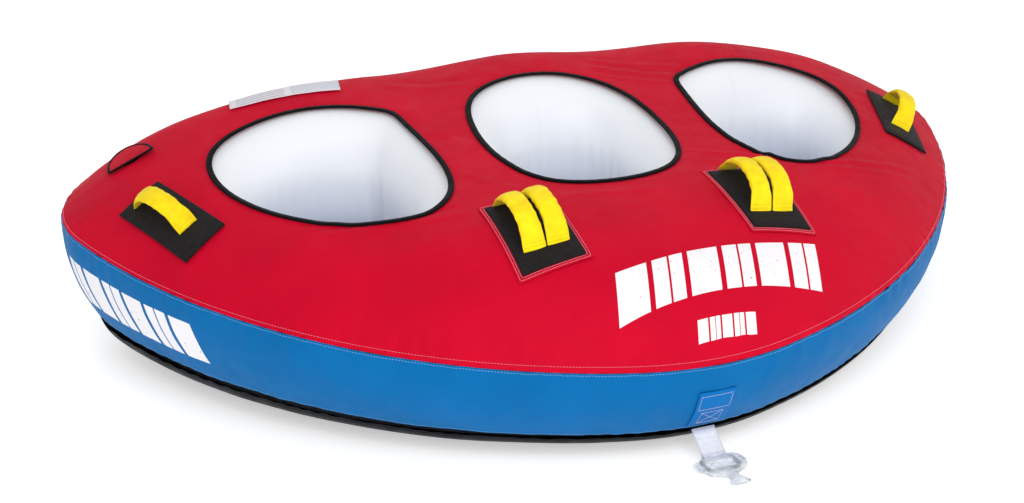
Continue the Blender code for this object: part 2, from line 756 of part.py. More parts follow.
def make_handle(name, place, offset):
    def webbing_size(share):
        return WEBBING_W * foot_taper(share), WEBBING_T

    def sleeve_outer(share):
        puff = 0.75 + 0.25 * float(smooth_step((min(share, 1 - share) - SLEEVE_START) / 0.12))
        return SLEEVE_W * puff, SLEEVE_H * puff

    def sleeve_inner(share):
        width, height = sleeve_outer(share)
        return width - 2 * SLEEVE_WALL, height - 2 * SLEEVE_WALL

    pivot = place @ Vector((offset, HANDLE_SHIFT, PAD_LIFT + PAD_T + HANDLE_PIVOT_LIFT))
    webbing = closed_loft(bmesh.new(), handle_loops(place, offset, 0.0, 1.0, 14, webbing_size, 4))
    on_axis(finish(f"{name}_webbing", webbing, YELLOW), pivot)
    ends = (SLEEVE_START, 1 - SLEEVE_START)
    outer = handle_loops(place, offset, *ends, 9, sleeve_outer, 8)
    inner = handle_loops(place, offset, *ends, 9, sleeve_inner, 8)
    sleeve = bmesh.new()
    add_loft(sleeve, outer + list(reversed(inner)) + outer[:1])
    bmesh.ops.remove_doubles(sleeve, verts=sleeve.verts, dist=0.00001)
    on_axis(finish(f"{name}_sleeve", sleeve, YELLOW), pivot)


def make_handles():
    for side, sign in (("left", -1), ("right", 1)):
        place = pad_frame(sign * DECK_PAD_X, DECK_PAD_Y, 0.0)
        margin = 2 * DECK_PATCH_MARGIN
        laid_plate(f"deck_patch_{side}", sign * DECK_PAD_X, DECK_PAD_Y, 0.0, DECK_PAD_W + margin,
                   DECK_PAD_L + margin, PATCH_LIFT, PATCH_T, RED)
        laid_plate(f"deck_pad_{side}", sign * DECK_PAD_X, DECK_PAD_Y, 0.0, DECK_PAD_W, DECK_PAD_L,
                   PAD_LIFT, PAD_T, NEOPRENE)
        for which, shift in (("outer", sign), ("inner", -sign)):
            make_handle(f"deck_handle_{side}_{which}", place, shift * DECK_HANDLE_SPREAD / 2)
        turn = sign * END_PAD_TURN
        end_place = pad_frame(sign * END_PAD_X, END_PAD_Y, turn)
        laid_plate(f"end_pad_{side}", sign * END_PAD_X, END_PAD_Y, turn, END_PAD_W, END_PAD_L,
                   PAD_LIFT, PAD_T, NEOPRENE)
        make_handle(f"end_handle_{side}", end_place, 0.0)


# --- zipper -------------------------------------------------------------------------------------

def zip_place():
    """Frame on the back of the band: X along the zipper, Y up the band, Z outwards."""
    def point(down):
        bulge = BAND_BULGE * 4 * down * (1 - down)
        y = REAR_Y - LOWER_INSET * down + bulge
        upper = UPPER_SEAM_Z + UPPER_SEAM_RISE * REAR_Y
        lower = LOWER_SEAM_Z + LOWER_SEAM_RISE * (REAR_Y - LOWER_INSET)
        return Vector((0.0, y, upper + (lower - upper) * down))
    low, high = point(ZIP_HIGH), point(ZIP_LOW)
    up = (high - low).normalized()
    across = Vector((-1.0, 0.0, 0.0))
    return frame_matrix((low + high) / 2, across, up, across.cross(up)), (high - low).length


def make_zipper():
    place, window = zip_place()
    half = window / 2 - 0.0008
    run = ZIP_HALF - 0.0010
    for name, sign in (("upper", 1), ("lower", -1)):
        edges = sorted((sign * half, sign * 0.0004))
        box_low = (-run, edges[0], -COVER_T)
        box_high = (run, edges[1], -COVER_T + TAPE_T)
        finish(f"zipper_tape_{name}", box(bmesh.new(), place, box_low, box_high), BLACK)
    chain_z = -COVER_T + TAPE_T + ZIP_FIT
    chain_run = ZIP_HALF - 0.012
    finish("zipper_chain", box(bmesh.new(), place, (-chain_run, -CHAIN_W / 2, chain_z),
                               (chain_run, CHAIN_W / 2, chain_z + CHAIN_T)), BLACK_PLASTIC)
    make_slider(place, chain_z)


def make_slider(place, chain_z):
    rest = place @ Matrix.Translation((SLIDER_X, 0.0, 0.0))
    top = chain_z + CHAIN_T + ZIP_FIT
    inner = CHAIN_W / 2 + ZIP_FIT
    outer = inner + SLIDER_WALL
    roof = top + SLIDER_WALL
    foot = chain_z + 0.0004
    half = SLIDER_L / 2
    section = [(-outer, foot), (-inner, foot), (-inner, top), (inner, top), (inner, foot), (outer, foot),
               (outer, roof), (-outer, roof)]
    mesh = bmesh.new()
    loops = [[rest @ Vector((x, u, w)) for u, w in section] for x in (-half, half)]
    closed_loft(mesh, loops)
    body = finish("zipper_slider", mesh, BLACK_PLASTIC)
    bridge = bmesh.new()
    lift = roof + BRIDGE_H
    sunk = roof - SLIDER_WALL / 2
    end, leg = BRIDGE_L / 2, BRIDGE_L / 2 - 0.0016
    path = [(-end, sunk), (-end, lift), (end, lift), (end, sunk),
            (leg, sunk), (leg, lift - BRIDGE_T), (-leg, lift - BRIDGE_T), (-leg, sunk)]
    closed_loft(bridge, [[rest @ Vector((x, y, z)) for x, z in path] for y in (-BRIDGE_W / 2, BRIDGE_W / 2)])
    guide = finish("slider_bridge_shape", bridge, BLACK_PLASTIC)
    guide.hide_render = True
    guide.display_type = "WIRE"
    union = body.modifiers.new("bridge", "BOOLEAN")
    union.operation = "UNION"
    union.solver = "EXACT"
    union.object = guide
    make_pull(rest, roof)


def make_pull(rest, roof):
    """Puller: a crossbar under the slider's bridge, two arms round it and a tab."""
    axis_z = roof + (BRIDGE_H - BRIDGE_T) / 2
    bar = PULL_T / 2
    side, slot = PULL_W / 2, PULL_W / 2 - PULL_ARM
    far = BRIDGE_L / 2 + 0.0020
    frame = [(-bar, -side), (-bar, side), (PULL_L, side), (PULL_L, -side)]
    window = [(bar, -slot), (bar, slot), (far, slot), (far, -slot)]
    mesh = bmesh.new()
    low = [mesh.verts.new(rest @ Vector((-x, y, axis_z - bar))) for x, y in frame]
    low_in = [mesh.verts.new(rest @ Vector((-x, y, axis_z - bar))) for x, y in window]
    high = [mesh.verts.new(rest @ Vector((-x, y, axis_z + bar))) for x, y in frame]
    high_in = [mesh.verts.new(rest @ Vector((-x, y, axis_z + bar))) for x, y in window]
    for i in range(4):
        j = (i + 1) % 4
        mesh.faces.new((low[i], low[j], low_in[j], low_in[i]))
        mesh.faces.new((high[i], high_in[i], high_in[j], high[j]))
        mesh.faces.new((low[i], high[i], high[j], low[j]))
        mesh.faces.new((low_in[i], low_in[j], high_in[j], high_in[i]))
    on_axis(finish("zipper_pull", mesh, BLACK_PLASTIC), rest @ Vector((0, 0, axis_z)))


# --- valve --------------------------------------------------------------------------------------

def make_valve():
    place = valve_place() @ Matrix.Translation((0, 0, -VALVE_DEPTH))
    lift = 0.0004
    neck = VALVE_BORE + VALVE_NECK_WALL
    base = [(VALVE_BORE, lift), (VALVE_FLANGE_R, lift), (VALVE_FLANGE_R, lift + VALVE_FLANGE_T),
            (neck, lift + VALVE_FLANGE_T), (neck, lift + VALVE_H), (VALVE_BORE, lift + VALVE_H)]
    finish("valve_base", turned(bmesh.new(), base, place, 20), VALVE_PLASTIC)
    plug = VALVE_BORE - VALVE_FIT
    throat = plug - INSERT_WALL
    stem = 0.004
    web = lift + INSERT_H - 0.002
    insert = [(throat, lift), (plug, lift), (plug, lift + INSERT_H), (stem, lift + INSERT_H),
              (stem, web), (throat, web)]
    finish("valve_insert", turned(bmesh.new(), insert, place, 20), VALVE_PLASTIC)
    leaf, under = throat - 0.001, lift + INSERT_H / 2
    membrane = [(0.0, under), (leaf, under), (leaf, under + DIAPHRAGM_T), (0.0, under + DIAPHRAGM_T)]
    finish("valve_diaphragm", turned(bmesh.new(), membrane, place, 16, closed=False), BLACK_RUBBER)
    top = lift + VALVE_H + VALVE_FIT
    skirt = neck + VALVE_FIT
    rim = skirt + 0.002
    cap = [(0.0, top), (skirt, top), (skirt, top - CAP_SKIRT), (rim, top - CAP_SKIRT),
           (rim, top + CAP_T / 2), (skirt * 0.7, top + CAP_T), (0.0, top + CAP_T)]
    made = finish("valve_cap", turned(bmesh.new(), cap, place, 20, closed=False), BLACK_PLASTIC)
    on_axis(made, place @ Vector((0, 0, top)))
    low, high = lift + VALVE_FLANGE_T + VALVE_FIT, lift + VALVE_FLANGE_T + VALVE_FIT + TETHER_T
    near_r, far_r = neck + VALVE_FIT, neck + VALVE_FIT + TETHER_W
    ring = [(near_r, low), (far_r, low), (far_r, high), (near_r, high)]
    finish("valve_tether", turned(bmesh.new(), ring, place, 20), BLACK_RUBBER)
    make_flap()


def flap_loop(radius, steps=14):
    """Half-moon: an arc over the back and a straighter, sewn front edge."""
    points = []
    for k in range(steps + 1):
        turn = math.pi * k / steps
        points.append((radius * math.cos(turn), FLAP_HINGE + radius * FLAP_REACH * math.sin(turn)))
    return points


def make_flap():
    place = valve_place() @ Matrix.Translation((0, 0, FLAP_LIFT))
    pivot = place @ Vector((0, FLAP_HINGE, 0.0))
    inner = flap_loop(FLAP_R - FLAP_EDGE_W - 0.0005)
    loops = [[place @ Vector((x, y, z)) for x, y in inner] for z in (0.0006, 0.0006 + FLAP_T)]
    on_axis(finish("valve_flap", closed_loft(bmesh.new(), loops), RED), pivot)
    edge = bmesh.new()
    out = flap_loop(FLAP_R)
    back = list(reversed(flap_loop(FLAP_R - FLAP_EDGE_W)))
    inside_back = [(x, max(y, FLAP_HINGE)) for x, y in back]
    ring = out + inside_back
    loops = [[place @ Vector((x, y, z)) for x, y in ring] for z in (0.0, FLAP_EDGE_T)]
    rows = add_loft(edge, loops)
    count = len(out)
    for row in rows:
        for i in range(count - 1):
            far = len(ring) - 1 - i
            edge.faces.new((row[i], row[i + 1], row[far - 1], row[far]))
    on_axis(finish("valve_flap_binding", edge, BLACK), pivot)


# --- tow point ----------------------------------------------------------------------------------

def tow_root():
    """Where the strap leaves the lower seam at the nose."""
    y = NOSE_Y + LOWER_INSET
    return Vector((0.0, y - 0.004, LOWER_SEAM_Z + LOWER_SEAM_RISE * y - 0.001))


def make_tow():
    root = tow_root()
    ahead = Vector((0.0, -math.cos(TOW_DROOP), math.sin(TOW_DROOP)))
    side = Vector((1.0, 0.0, 0.0))
    place = frame_matrix(root, side, ahead, side.cross(ahead))
    half = TOW_W / 2
    eye = TOW_L + TOW_EYE_R
    profile = [(0.001, -TOW_T / 2), (0.001, TOW_T / 2)]
    start = math.asin(TOW_T / 2 / TOW_EYE_R)
    inner_r = TOW_EYE_R - TOW_T
    outer = []
    for k in range(13):
        turn = math.pi - start - (2 * math.pi - 2 * start) * k / 12
        outer.append((eye + TOW_EYE_R * math.cos(turn), TOW_EYE_R * math.sin(turn)))
    profile += outer
    mesh = bmesh.new()
    ring_count = 12
    hole = [(eye + inner_r * math.cos(t), inner_r * math.sin(t))
            for t in (math.pi - 2 * math.pi * k / ring_count for k in range(ring_count))]
    sides = []
    for x in (-half, half):
        rim = [mesh.verts.new(place @ Vector((x, y, z))) for y, z in profile]
        core = [mesh.verts.new(place @ Vector((x, y, z))) for y, z in hole]
        sides.append((rim, core))
    (rim_a, core_a), (rim_b, core_b) = sides
    for i in range(len(rim_a)):
        j = (i + 1) % len(rim_a)
        mesh.faces.new((rim_a[i], rim_a[j], rim_b[j], rim_b[i]))
    for i in range(ring_count):
        j = (i + 1) % ring_count
        mesh.faces.new((core_a[i], core_b[i], core_b[j], core_a[j]))
    for rim, core in sides:
        edges = [mesh.edges.get((rim[i], rim[(i + 1) % len(rim)])) for i in range(len(rim))]
        edges += [mesh.edges.get((core[i], core[(i + 1) % ring_count])) for i in range(ring_count)]
        bmesh.ops.triangle_fill(mesh, use_beauty=True, edges=edges)
    on_axis(finish("tow_strap", mesh, WHITE_WEB), root)
    ahead = Vector((0.0, -1.0, 0.0))
    make_tow_ring(frame_matrix(place @ Vector((0, eye, 0)), side, ahead, side.cross(ahead)))


def ring_path():
    """Rounded loop of the tow ring, its near bar through the strap's eye."""
    half, length, corner = TOW_RING_W / 2, TOW_RING_L, TOW_RING_CORNER
    path = []
    for cx, cy, start in ((half - corner, corner, -90), (half - corner, length - corner, 0),
                          (-half + corner, length - corner, 90), (-half + corner, corner, 180)):
        for k in range(4):
            turn = math.radians(start + 30 * k)
            path.append((cx + corner * math.cos(turn), cy + corner * math.sin(turn)))
    return path


def make_tow_ring(place):
    path = ring_path()
    mesh = bmesh.new()
    loops = []
    middle = Vector((0.0, TOW_RING_L / 2))
    count = len(path)
    for i, (x, y) in enumerate(path):
        before, after = Vector(path[i - 1]), Vector(path[(i + 1) % count])
        along = (after - before).normalized()
        out = Vector((along.y, -along.x))
        if out.dot(Vector((x, y)) - middle) < 0:
            out = -out
        loop = []
        for k in range(8):
            turn = 2 * math.pi * k / 8
            spread = out * (TOW_RING_ROD * math.cos(turn))
            loop.append(place @ Vector((x + spread.x, y + spread.y, TOW_RING_ROD * math.sin(turn))))
        loops.append(loop)
    add_loft(mesh, loops + loops[:1])
    bmesh.ops.remove_doubles(mesh, verts=mesh.verts, dist=0.00001)
    on_axis(finish("tow_ring", mesh, BLACK_PLASTIC), place.translation)
    make_film(place)


def make_film(place):
    """Loose film bag over the ring, open towards the strap and twisted shut past the ring."""
    def loop(y, half_w, half_t):
        return [place @ Vector((half_w * math.cos(t), y, half_t * math.sin(t)))
                for t in (2 * math.pi * k / 12 for k in range(12))]
    wide, deep = TOW_RING_W / 2 + 0.015, 0.0155
    bag = ((0.011, wide - 0.002, deep - 0.001), (0.024, wide, deep), (0.040, wide - 0.003, deep - 0.001))
    tail = ((0.060, 0.024, 0.012), (0.072, 0.009, 0.007), (0.086, 0.016, 0.006), (0.100, 0.020, 0.004))
    outer = [loop(*size) for size in bag + tail]
    inner = [loop(0.054, 0.030, 0.0085)]
    inner += [loop(y, half_w - FILM_T, half_t - FILM_T) for y, half_w, half_t in reversed(bag)]
    mesh = bmesh.new()
    rows = add_loft(mesh, inner + outer)
    mesh.faces.new(rows[0])
    mesh.faces.new(rows[-1])
    on_axis(finish("tow_ring_film", mesh, FILM), place.translation)


def nose_point(x, down):
    """Height and y of the band's outside in front of the nose."""
    bulge = BAND_BULGE * 4 * down * (1 - down)
    radius = NOSE_R - LOWER_INSET * down + bulge
    y = NOSE_Y + NOSE_R - math.sqrt(radius ** 2 - x ** 2)
    upper = UPPER_SEAM_Z + UPPER_SEAM_RISE * y
    lower = LOWER_SEAM_Z + LOWER_SEAM_RISE * y
    return y, upper + (lower - upper) * down


def make_tow_patch():
    """Reinforcing patch sewn to the band above the strap."""
    grid = []
    for r in range(5):
        down = TOW_PATCH_TOP + (TOW_PATCH_FOOT - TOW_PATCH_TOP) * r / 4
        row = []
        for c in range(5):
            x = TOW_PATCH_W * (c / 4 - 0.5)
            y, z = nose_point(x, down)
            row.append(Vector((x, y - PATCH_T, z)))
        grid.append(row)
    mesh = slab(bmesh.new(), grid, lambda p: Vector((0.0, -1.0, 0.0)), TOW_PATCH_T)
    finish("tow_patch", mesh, BLUE)


def make_harness():
    """Webbing inside the bottom cover, from the tow point to each back corner."""
    for side, sign in (("left", -1), ("right", 1)):
        start = Vector((sign * 0.045, NOSE_Y + LOWER_INSET + 0.130))
        end = Vector((sign * HARNESS_X * WIDTH / 2, HARNESS_Y))
        along = (end - start).normalized()
        across = Vector((along.y, -along.x)) * HARNESS_W / 2
        grid = []
        for r in range(13):
            middle = start + (end - start) * r / 12
            row = []
            for c in (-1, 1):
                spot = middle + across * c
                row.append(Vector((spot.x, spot.y, float(bottom_z(spot.x, spot.y)) + HARNESS_LIFT)))
            grid.append(row)
        mesh = slab(bmesh.new(), grid, lambda p: Vector((0.0, 0.0, 1.0)), HARNESS_T)
        finish(f"tow_harness_{side}", mesh, BLACK)


# --- label --------------------------------------------------------------------------------------

def make_label():
    laid_plate("label_patch", LABEL_X, LABEL_Y, LABEL_TURN, LABEL_W, LABEL_D, LABEL_LIFT, LABEL_T,
               LABEL, 8, 2)


def main():
    clear_scene()
    make_top_cover()
    make_side_band()
    make_bottom_cover()
    make_grommets()
    make_bindings()
    make_main_bladder()
    make_seat_floors()
    make_handles()
    make_zipper()
    make_valve()
    make_tow()
    make_tow_patch()
    make_harness()
    make_label()


main()
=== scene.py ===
"""Looks of the three-seat towable tube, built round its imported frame.

Metres in the frame of the part: +X along the row of cockpits, -Y the towed front, +Z up.
"""

import math

import bmesh
import bpy
import numpy as np
from mathutils import Matrix, Vector
from mathutils.geometry import delaunay_2d_cdt
from mathutils.kdtree import KDTree


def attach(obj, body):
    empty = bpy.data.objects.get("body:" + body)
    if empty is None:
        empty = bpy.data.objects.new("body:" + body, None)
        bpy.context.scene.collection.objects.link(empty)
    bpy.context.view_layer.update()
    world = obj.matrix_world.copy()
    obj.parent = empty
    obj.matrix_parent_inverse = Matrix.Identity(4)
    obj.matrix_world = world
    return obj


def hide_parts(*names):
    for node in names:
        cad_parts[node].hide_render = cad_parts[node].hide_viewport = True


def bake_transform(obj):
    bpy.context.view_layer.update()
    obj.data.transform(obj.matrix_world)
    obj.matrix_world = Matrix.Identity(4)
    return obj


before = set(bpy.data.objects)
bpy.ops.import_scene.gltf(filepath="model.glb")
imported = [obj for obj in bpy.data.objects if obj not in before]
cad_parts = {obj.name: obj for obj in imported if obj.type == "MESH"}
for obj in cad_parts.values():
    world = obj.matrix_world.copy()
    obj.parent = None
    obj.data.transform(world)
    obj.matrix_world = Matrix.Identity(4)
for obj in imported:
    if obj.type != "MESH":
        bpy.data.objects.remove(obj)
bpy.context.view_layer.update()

# --- the part's own shape, repeated from its driving sizes
WIDTH, REAR_Y, NOSE_Y = 2.18, 0.50, -0.70
CORNER_R, NOSE_R, NOSE_TURN = 0.26, 0.64, math.radians(15.11)
CENTRE_Y = 0.10
LOWER_INSET = 0.060
UPPER_SEAM_Z, UPPER_SEAM_RISE = 0.309, 0.124
LOWER_SEAM_Z, LOWER_SEAM_RISE = 0.100, 0.062
CROWN_Z, CROWN_RISE, CROWN_HOLLOW, CROWN_DROOP = 0.490, 0.162, 0.13, 0.087
SHOULDER = 7.3
DECK_STEP, DECK_STEP_Y, DECK_STEP_RUN = 0.010, -0.29, 0.20
BACK_SWELL = 0.006
FLAT_SHARE = 0.73
BAND_BULGE = 0.020
BLADDER_GAP, KEEL_GAP = 0.010, 0.015
PITCH = 0.50
SIDE_X_WAVE = (0.207, 0.086, 0.035, -0.052)
SIDE_Y_WAVE = (-0.069, 0.233, 0.062, -0.023)
WELL_LIP, WELL_BULGE, WELL_DEPTH = 0.030, 0.088, 0.15
FLOOR_Z = 0.300
PAD_LIFT, PAD_T, PIVOT_LIFT = 0.0055, 0.003, 0.010
DECK_PAD = (0.2545, -0.385, 0.134, 0.200)
END_PAD = (0.890, 0.042, 0.100, 0.240)
END_PAD_TURN = math.radians(22.0)
HANDLE_SPREAD, HANDLE_SPAN, HANDLE_RISE, HANDLE_SHIFT = 0.052, 0.150, 0.040, 0.019
ZIP_HALF, ZIP_LOW, ZIP_HIGH = 0.31, 0.44, 0.56
VALVE_X, VALVE_Y = -0.922, 0.340
FLAP_R, FLAP_REACH, FLAP_HINGE, FLAP_LIFT = 0.056, 1.55, -0.044, 0.0035
SEATS = {"left": -1, "middle": 0, "right": 1}
ROUND = 1160                  # points round the cover's plan
COARSE = 0.009
MIDDLE = (0.0, 0.0, 0.25)      # a point inside the tube
ACCESS_R = 0.042              # the hole for the valve through the top cover
GROMMET_HOLE_R = 0.0150
OPENING_RUN = 1.6             # length along an opening's edge, for its gathers
SEAM_STITCH = (0.0062, 0.0040, 0.00065)             # pitch, length and radius of the seams' thread


def smooth(value):
    value = np.clip(value, 0.0, 1.0)
    return value * value * (3 - 2 * value)


def field(u, v, seed):
    """Smooth noise from -1 to 1 over the plane, one bump for each unit."""
    table = np.random.default_rng(seed).uniform(-1, 1, (64, 64))
    u, v = np.asarray(u, float), np.asarray(v, float)
    i, j = np.floor(u).astype(int), np.floor(v).astype(int)
    a, b = smooth(u - i), smooth(v - j)

    def corner(p, q):
        return table[(i + p) % 64, (j + q) % 64]
    near = corner(0, 0) * (1 - a) + corner(1, 0) * a
    far = corner(0, 1) * (1 - a) + corner(1, 1) * a
    return near * (1 - b) + far * b


# --- plan -----------------------------------------------------------------------------------------

def outline():
    """Fine plan curve of the upper seam, clockwise from the middle of the back, with its normals."""
    corner = Vector((WIDTH / 2 - CORNER_R, REAR_Y - CORNER_R))
    nose = Vector((0.0, NOSE_Y + NOSE_R))
    gap = nose - corner
    over = NOSE_R - CORNER_R
    tip = Vector((math.sin(NOSE_TURN), -math.cos(NOSE_TURN)))
    reach = (gap.length_squared - over ** 2) / (2 * (gap.dot(tip) + over))
    side = nose - tip * reach
    first = math.atan2(corner.y - side.y, corner.x - side.x)
    second = NOSE_TURN - math.pi / 2
    rows = [((x, REAR_Y), (0.0, 1.0)) for x in np.linspace(0, corner.x, 120)]
    for centre, radius, start, end in ((corner, CORNER_R, math.pi / 2, first),
                                       (side, reach + NOSE_R, first, second),
                                       (nose, NOSE_R, second, -math.pi / 2)):
        for angle in np.linspace(start, end, 240)[1:]:
            out = (math.cos(angle), math.sin(angle))
            rows.append(((centre.x + radius * out[0], centre.y + radius * out[1]), out))
    half = np.array(rows).reshape(-1, 4)
    other = half[::-1][1:-1] * (-1, 1, -1, 1)
    return np.vstack([half, other])


def even(points, count):
    """A closed curve's rows at even spacing; columns past the second go along."""
    closed = np.vstack([points, points[:1]])
    run = np.r_[0, np.cumsum(np.hypot(*np.diff(closed[:, :2], axis=0).T))]
    spots = np.arange(count) * run[-1] / count
    return np.column_stack([np.interp(spots, run, column) for column in closed.T])


FINE_EDGE = outline()
EDGE = even(FINE_EDGE, ROUND)
EDGE_RUN = np.hypot(*np.diff(np.vstack([FINE_EDGE, FINE_EDGE[:1]])[:, :2], axis=0).T).sum()
ALONG = np.arange(ROUND) * EDGE_RUN / ROUND


def plan(inset):
    return EDGE[:, :2] - EDGE[:, 2:] * inset


def reach_table(inset):
    away = FINE_EDGE[:, :2] - FINE_EDGE[:, 2:] * inset - (0.0, CENTRE_Y)
    angle = np.arctan2(away[:, 0], away[:, 1])
    order = np.argsort(angle)
    return angle[order], np.hypot(*away.T)[order]


UPPER_REACH, LOWER_REACH = reach_table(0.0), reach_table(LOWER_INSET)


def share_and_edge(x, y, table):
    dx, dy = x, y - CENTRE_Y
    angle = np.arctan2(dx, dy)
    reach = np.interp(angle, table[0], table[1], period=2 * math.pi)
    return np.hypot(dx, dy) / reach, CENTRE_Y + reach * np.cos(angle)


def top_z(x, y):
    x, y = np.asarray(x, float), np.asarray(y, float)
    share, edge_y = share_and_edge(x, y, UPPER_REACH)
    seam = UPPER_SEAM_Z + UPPER_SEAM_RISE * edge_y
    crown = CROWN_Z + CROWN_RISE * y + CROWN_HOLLOW * y ** 2 - CROWN_DROOP * x ** 2
    crown = crown - DECK_STEP * smooth((DECK_STEP_Y - y) / DECK_STEP_RUN)
    swell = BACK_SWELL * np.cos(2 * math.pi * x / PITCH)
    crown = crown + swell * smooth((y - 0.1) / 0.25) * smooth((0.95 - abs(x)) / 0.3)
    return seam + (crown - seam) * (1 - np.minimum(share, 1.0) ** SHOULDER)


def bottom_z(x, y):
    x, y = np.asarray(x, float), np.asarray(y, float)
    share, edge_y = share_and_edge(x, y, LOWER_REACH)
    seam = LOWER_SEAM_Z + LOWER_SEAM_RISE * edge_y
    out = np.clip((share - FLAT_SHARE) / (1 - FLAT_SHARE), 0.0, 1.0)
    return seam * (1 - np.sqrt(1 - out ** 2))


def band_point(down, inset=0.0):
    bulge = BAND_BULGE * 4 * down * (1 - down)
    points = plan(LOWER_INSET * down - bulge + inset)
    upper = UPPER_SEAM_Z + UPPER_SEAM_RISE * EDGE[:, 1]
    lower = LOWER_SEAM_Z + LOWER_SEAM_RISE * plan(LOWER_INSET)[:, 1]
    return np.c_[points, upper + (lower - upper) * down]


def surface_frame(x, y, height=top_z):
    step = 0.004
    slope_x = (height(x + step, y) - height(x - step, y)) / (2 * step)
    slope_y = (height(x, y + step) - height(x, y - step)) / (2 * step)
    return Vector((x, y, float(height(x, y)))), Vector((-slope_x, -slope_y, 1.0)).normalized()


def opening(seat, inset=0.0, steps=300):
    turn = np.arange(steps) * 2 * math.pi / steps
    if seat == 0:
        points = np.c_[0.222 * np.sin(turn) + 0.0055 * np.sin(3 * turn),
                       0.273 * np.cos(turn) - 0.0117 * np.cos(3 * turn)]
    else:
        waves = (np.sin(turn), np.cos(turn), np.sin(2 * turn), np.cos(2 * turn))
        points = np.c_[PITCH + sum(k * w for k, w in zip(SIDE_X_WAVE, waves)),
                       0.060 + sum(k * w for k, w in zip(SIDE_Y_WAVE, waves))]
    points = even(points, steps)
    way = np.roll(points, -1, 0) - np.roll(points, 1, 0)
    points = points + np.c_[way[:, 1], -way[:, 0]] / np.hypot(*way.T)[:, None] * inset
    return points * (-1, 1) if seat == -1 else points


def well_loop(seat, inset, steps=240):
    points = opening(seat, 0.0, steps)
    middle = points.mean(0)
    return middle + (points - middle) * (1 - inset / np.hypot(*(points - middle).T).mean())


# --- meshes ---------------------------------------------------------------------------------------

def make(name, verts, faces, look, body="tube", instead=(), slot=None, uv=None, outward=None):
    """A smooth mesh piece that rides on a body and stands for CAD nodes.

    The faces of an open sheet are turned away from the point outward.
    """
    data = bpy.data.meshes.new(name)
    data.from_pydata([tuple(v) for v in verts], [], [tuple(int(i) for i in f) for f in faces])
    shape = bmesh.new()
    shape.from_mesh(data)
    bmesh.ops.recalc_face_normals(shape, faces=shape.faces)
    if outward:
        middle = Vector(outward)
        lean = sum(f.normal.dot(f.calc_center_median() - middle) * f.calc_area() for f in shape.faces)
        if lean < 0:
            bmesh.ops.reverse_faces(shape, faces=shape.faces)
    shape.to_mesh(data)
    shape.free()
    data.shade_smooth()
    if uv is not None:
        layer = data.uv_layers.new(name="plan").data
        uv = np.asarray(uv, float)
        corners = np.zeros(len(data.loops), int)
        data.loops.foreach_get("vertex_index", corners)
        layer.foreach_set("uv", uv[corners].ravel())
    data.validate()
    made = bpy.data.objects.new(name, data)
    bpy.context.scene.collection.objects.link(made)
    data.materials.append(look)
    if body:
        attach(made, body)
    if instead:
        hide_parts(*instead)
    return made


def loft(loops, close_rows=False, caps=False, start=0):
    """Vertices and quads through closed loops of equal length."""
    count, rows = len(loops[0]), len(loops)
    verts = np.vstack(loops)
    i = np.arange(count)
    j = (i + 1) % count
    faces = []
    for r in range(rows if close_rows else rows - 1):
        a, b = r * count, ((r + 1) % rows) * count
        faces += np.c_[a + i, a + j, b + j, b + i].tolist()
    if caps:
        faces += [list(reversed(range(count))), list(range((rows - 1) * count, rows * count))]
    return verts, [[start + k for k in f] for f in faces]


def join(parts):
    """One vertex and face list from several."""
    verts, faces, base = [], [], 0
    for v, f in parts:
        verts.append(np.asarray(v, float))
        faces += [[k + base for k in face] for face in f]
        base += len(v)
    return np.vstack(verts), faces


def slab(grid, normals, thickness, edge=0.0):
    """Closed plate from a grid of points (rows, cols, 3), rounded at its rim by edge."""
    rows, cols = grid.shape[:2]
    low, high = grid.copy(), grid + normals * thickness
    if edge:
        for k, drop in ((0, 1.0), (1, 0.25)):
            rim = np.zeros((rows, cols), bool)
            rim[k, k:cols - k] = rim[rows - 1 - k, k:cols - k] = True
            rim[k:rows - k, k] = rim[k:rows - k, cols - 1 - k] = True
            high[rim] -= normals[rim] * edge * drop
    verts = np.vstack([low.reshape(-1, 3), high.reshape(-1, 3)])
    index = np.arange(rows * cols).reshape(rows, cols)
    a, b, c, d = index[:-1, :-1], index[1:, :-1], index[1:, 1:], index[:-1, 1:]
    faces = np.stack([a, b, c, d], -1).reshape(-1, 4).tolist()
    faces += (np.stack([a, d, c, b], -1).reshape(-1, 4) + rows * cols).tolist()
    rim = list(index[0]) + list(index[1:, -1]) + list(index[-1, -2::-1]) + list(index[-2:0:-1, 0])
    for p, q in zip(rim, rim[1:] + rim[:1]):
        faces.append([p, q, q + rows * cols, p + rows * cols])
    return verts, faces


def tube(path, radius, sides=8, closed=False, flat=1.0, up=(0, 0, 1)):
    """Round or oval tube along a path; radius may be one number or one for each point."""
    path = np.asarray(path, float)
    radius = np.broadcast_to(radius, len(path))
    if closed:
        way = np.roll(path, -1, 0) - np.roll(path, 1, 0)
    else:
        way = np.gradient(path, axis=0)
    way /= np.linalg.norm(way, axis=1)[:, None]
    up = np.broadcast_to(np.asarray(up, float), path.shape)
    side = np.cross(way, up)
    side /= np.linalg.norm(side, axis=1)[:, None]
    over = np.cross(side, way)
    loops = []
    for p, s, o, r in zip(path, side, over, radius):
        turn = np.arange(sides) * 2 * math.pi / sides
        loops.append(p + r * (np.cos(turn)[:, None] * s + flat * np.sin(turn)[:, None] * o))
    return loft(loops, close_rows=closed, caps=not closed)


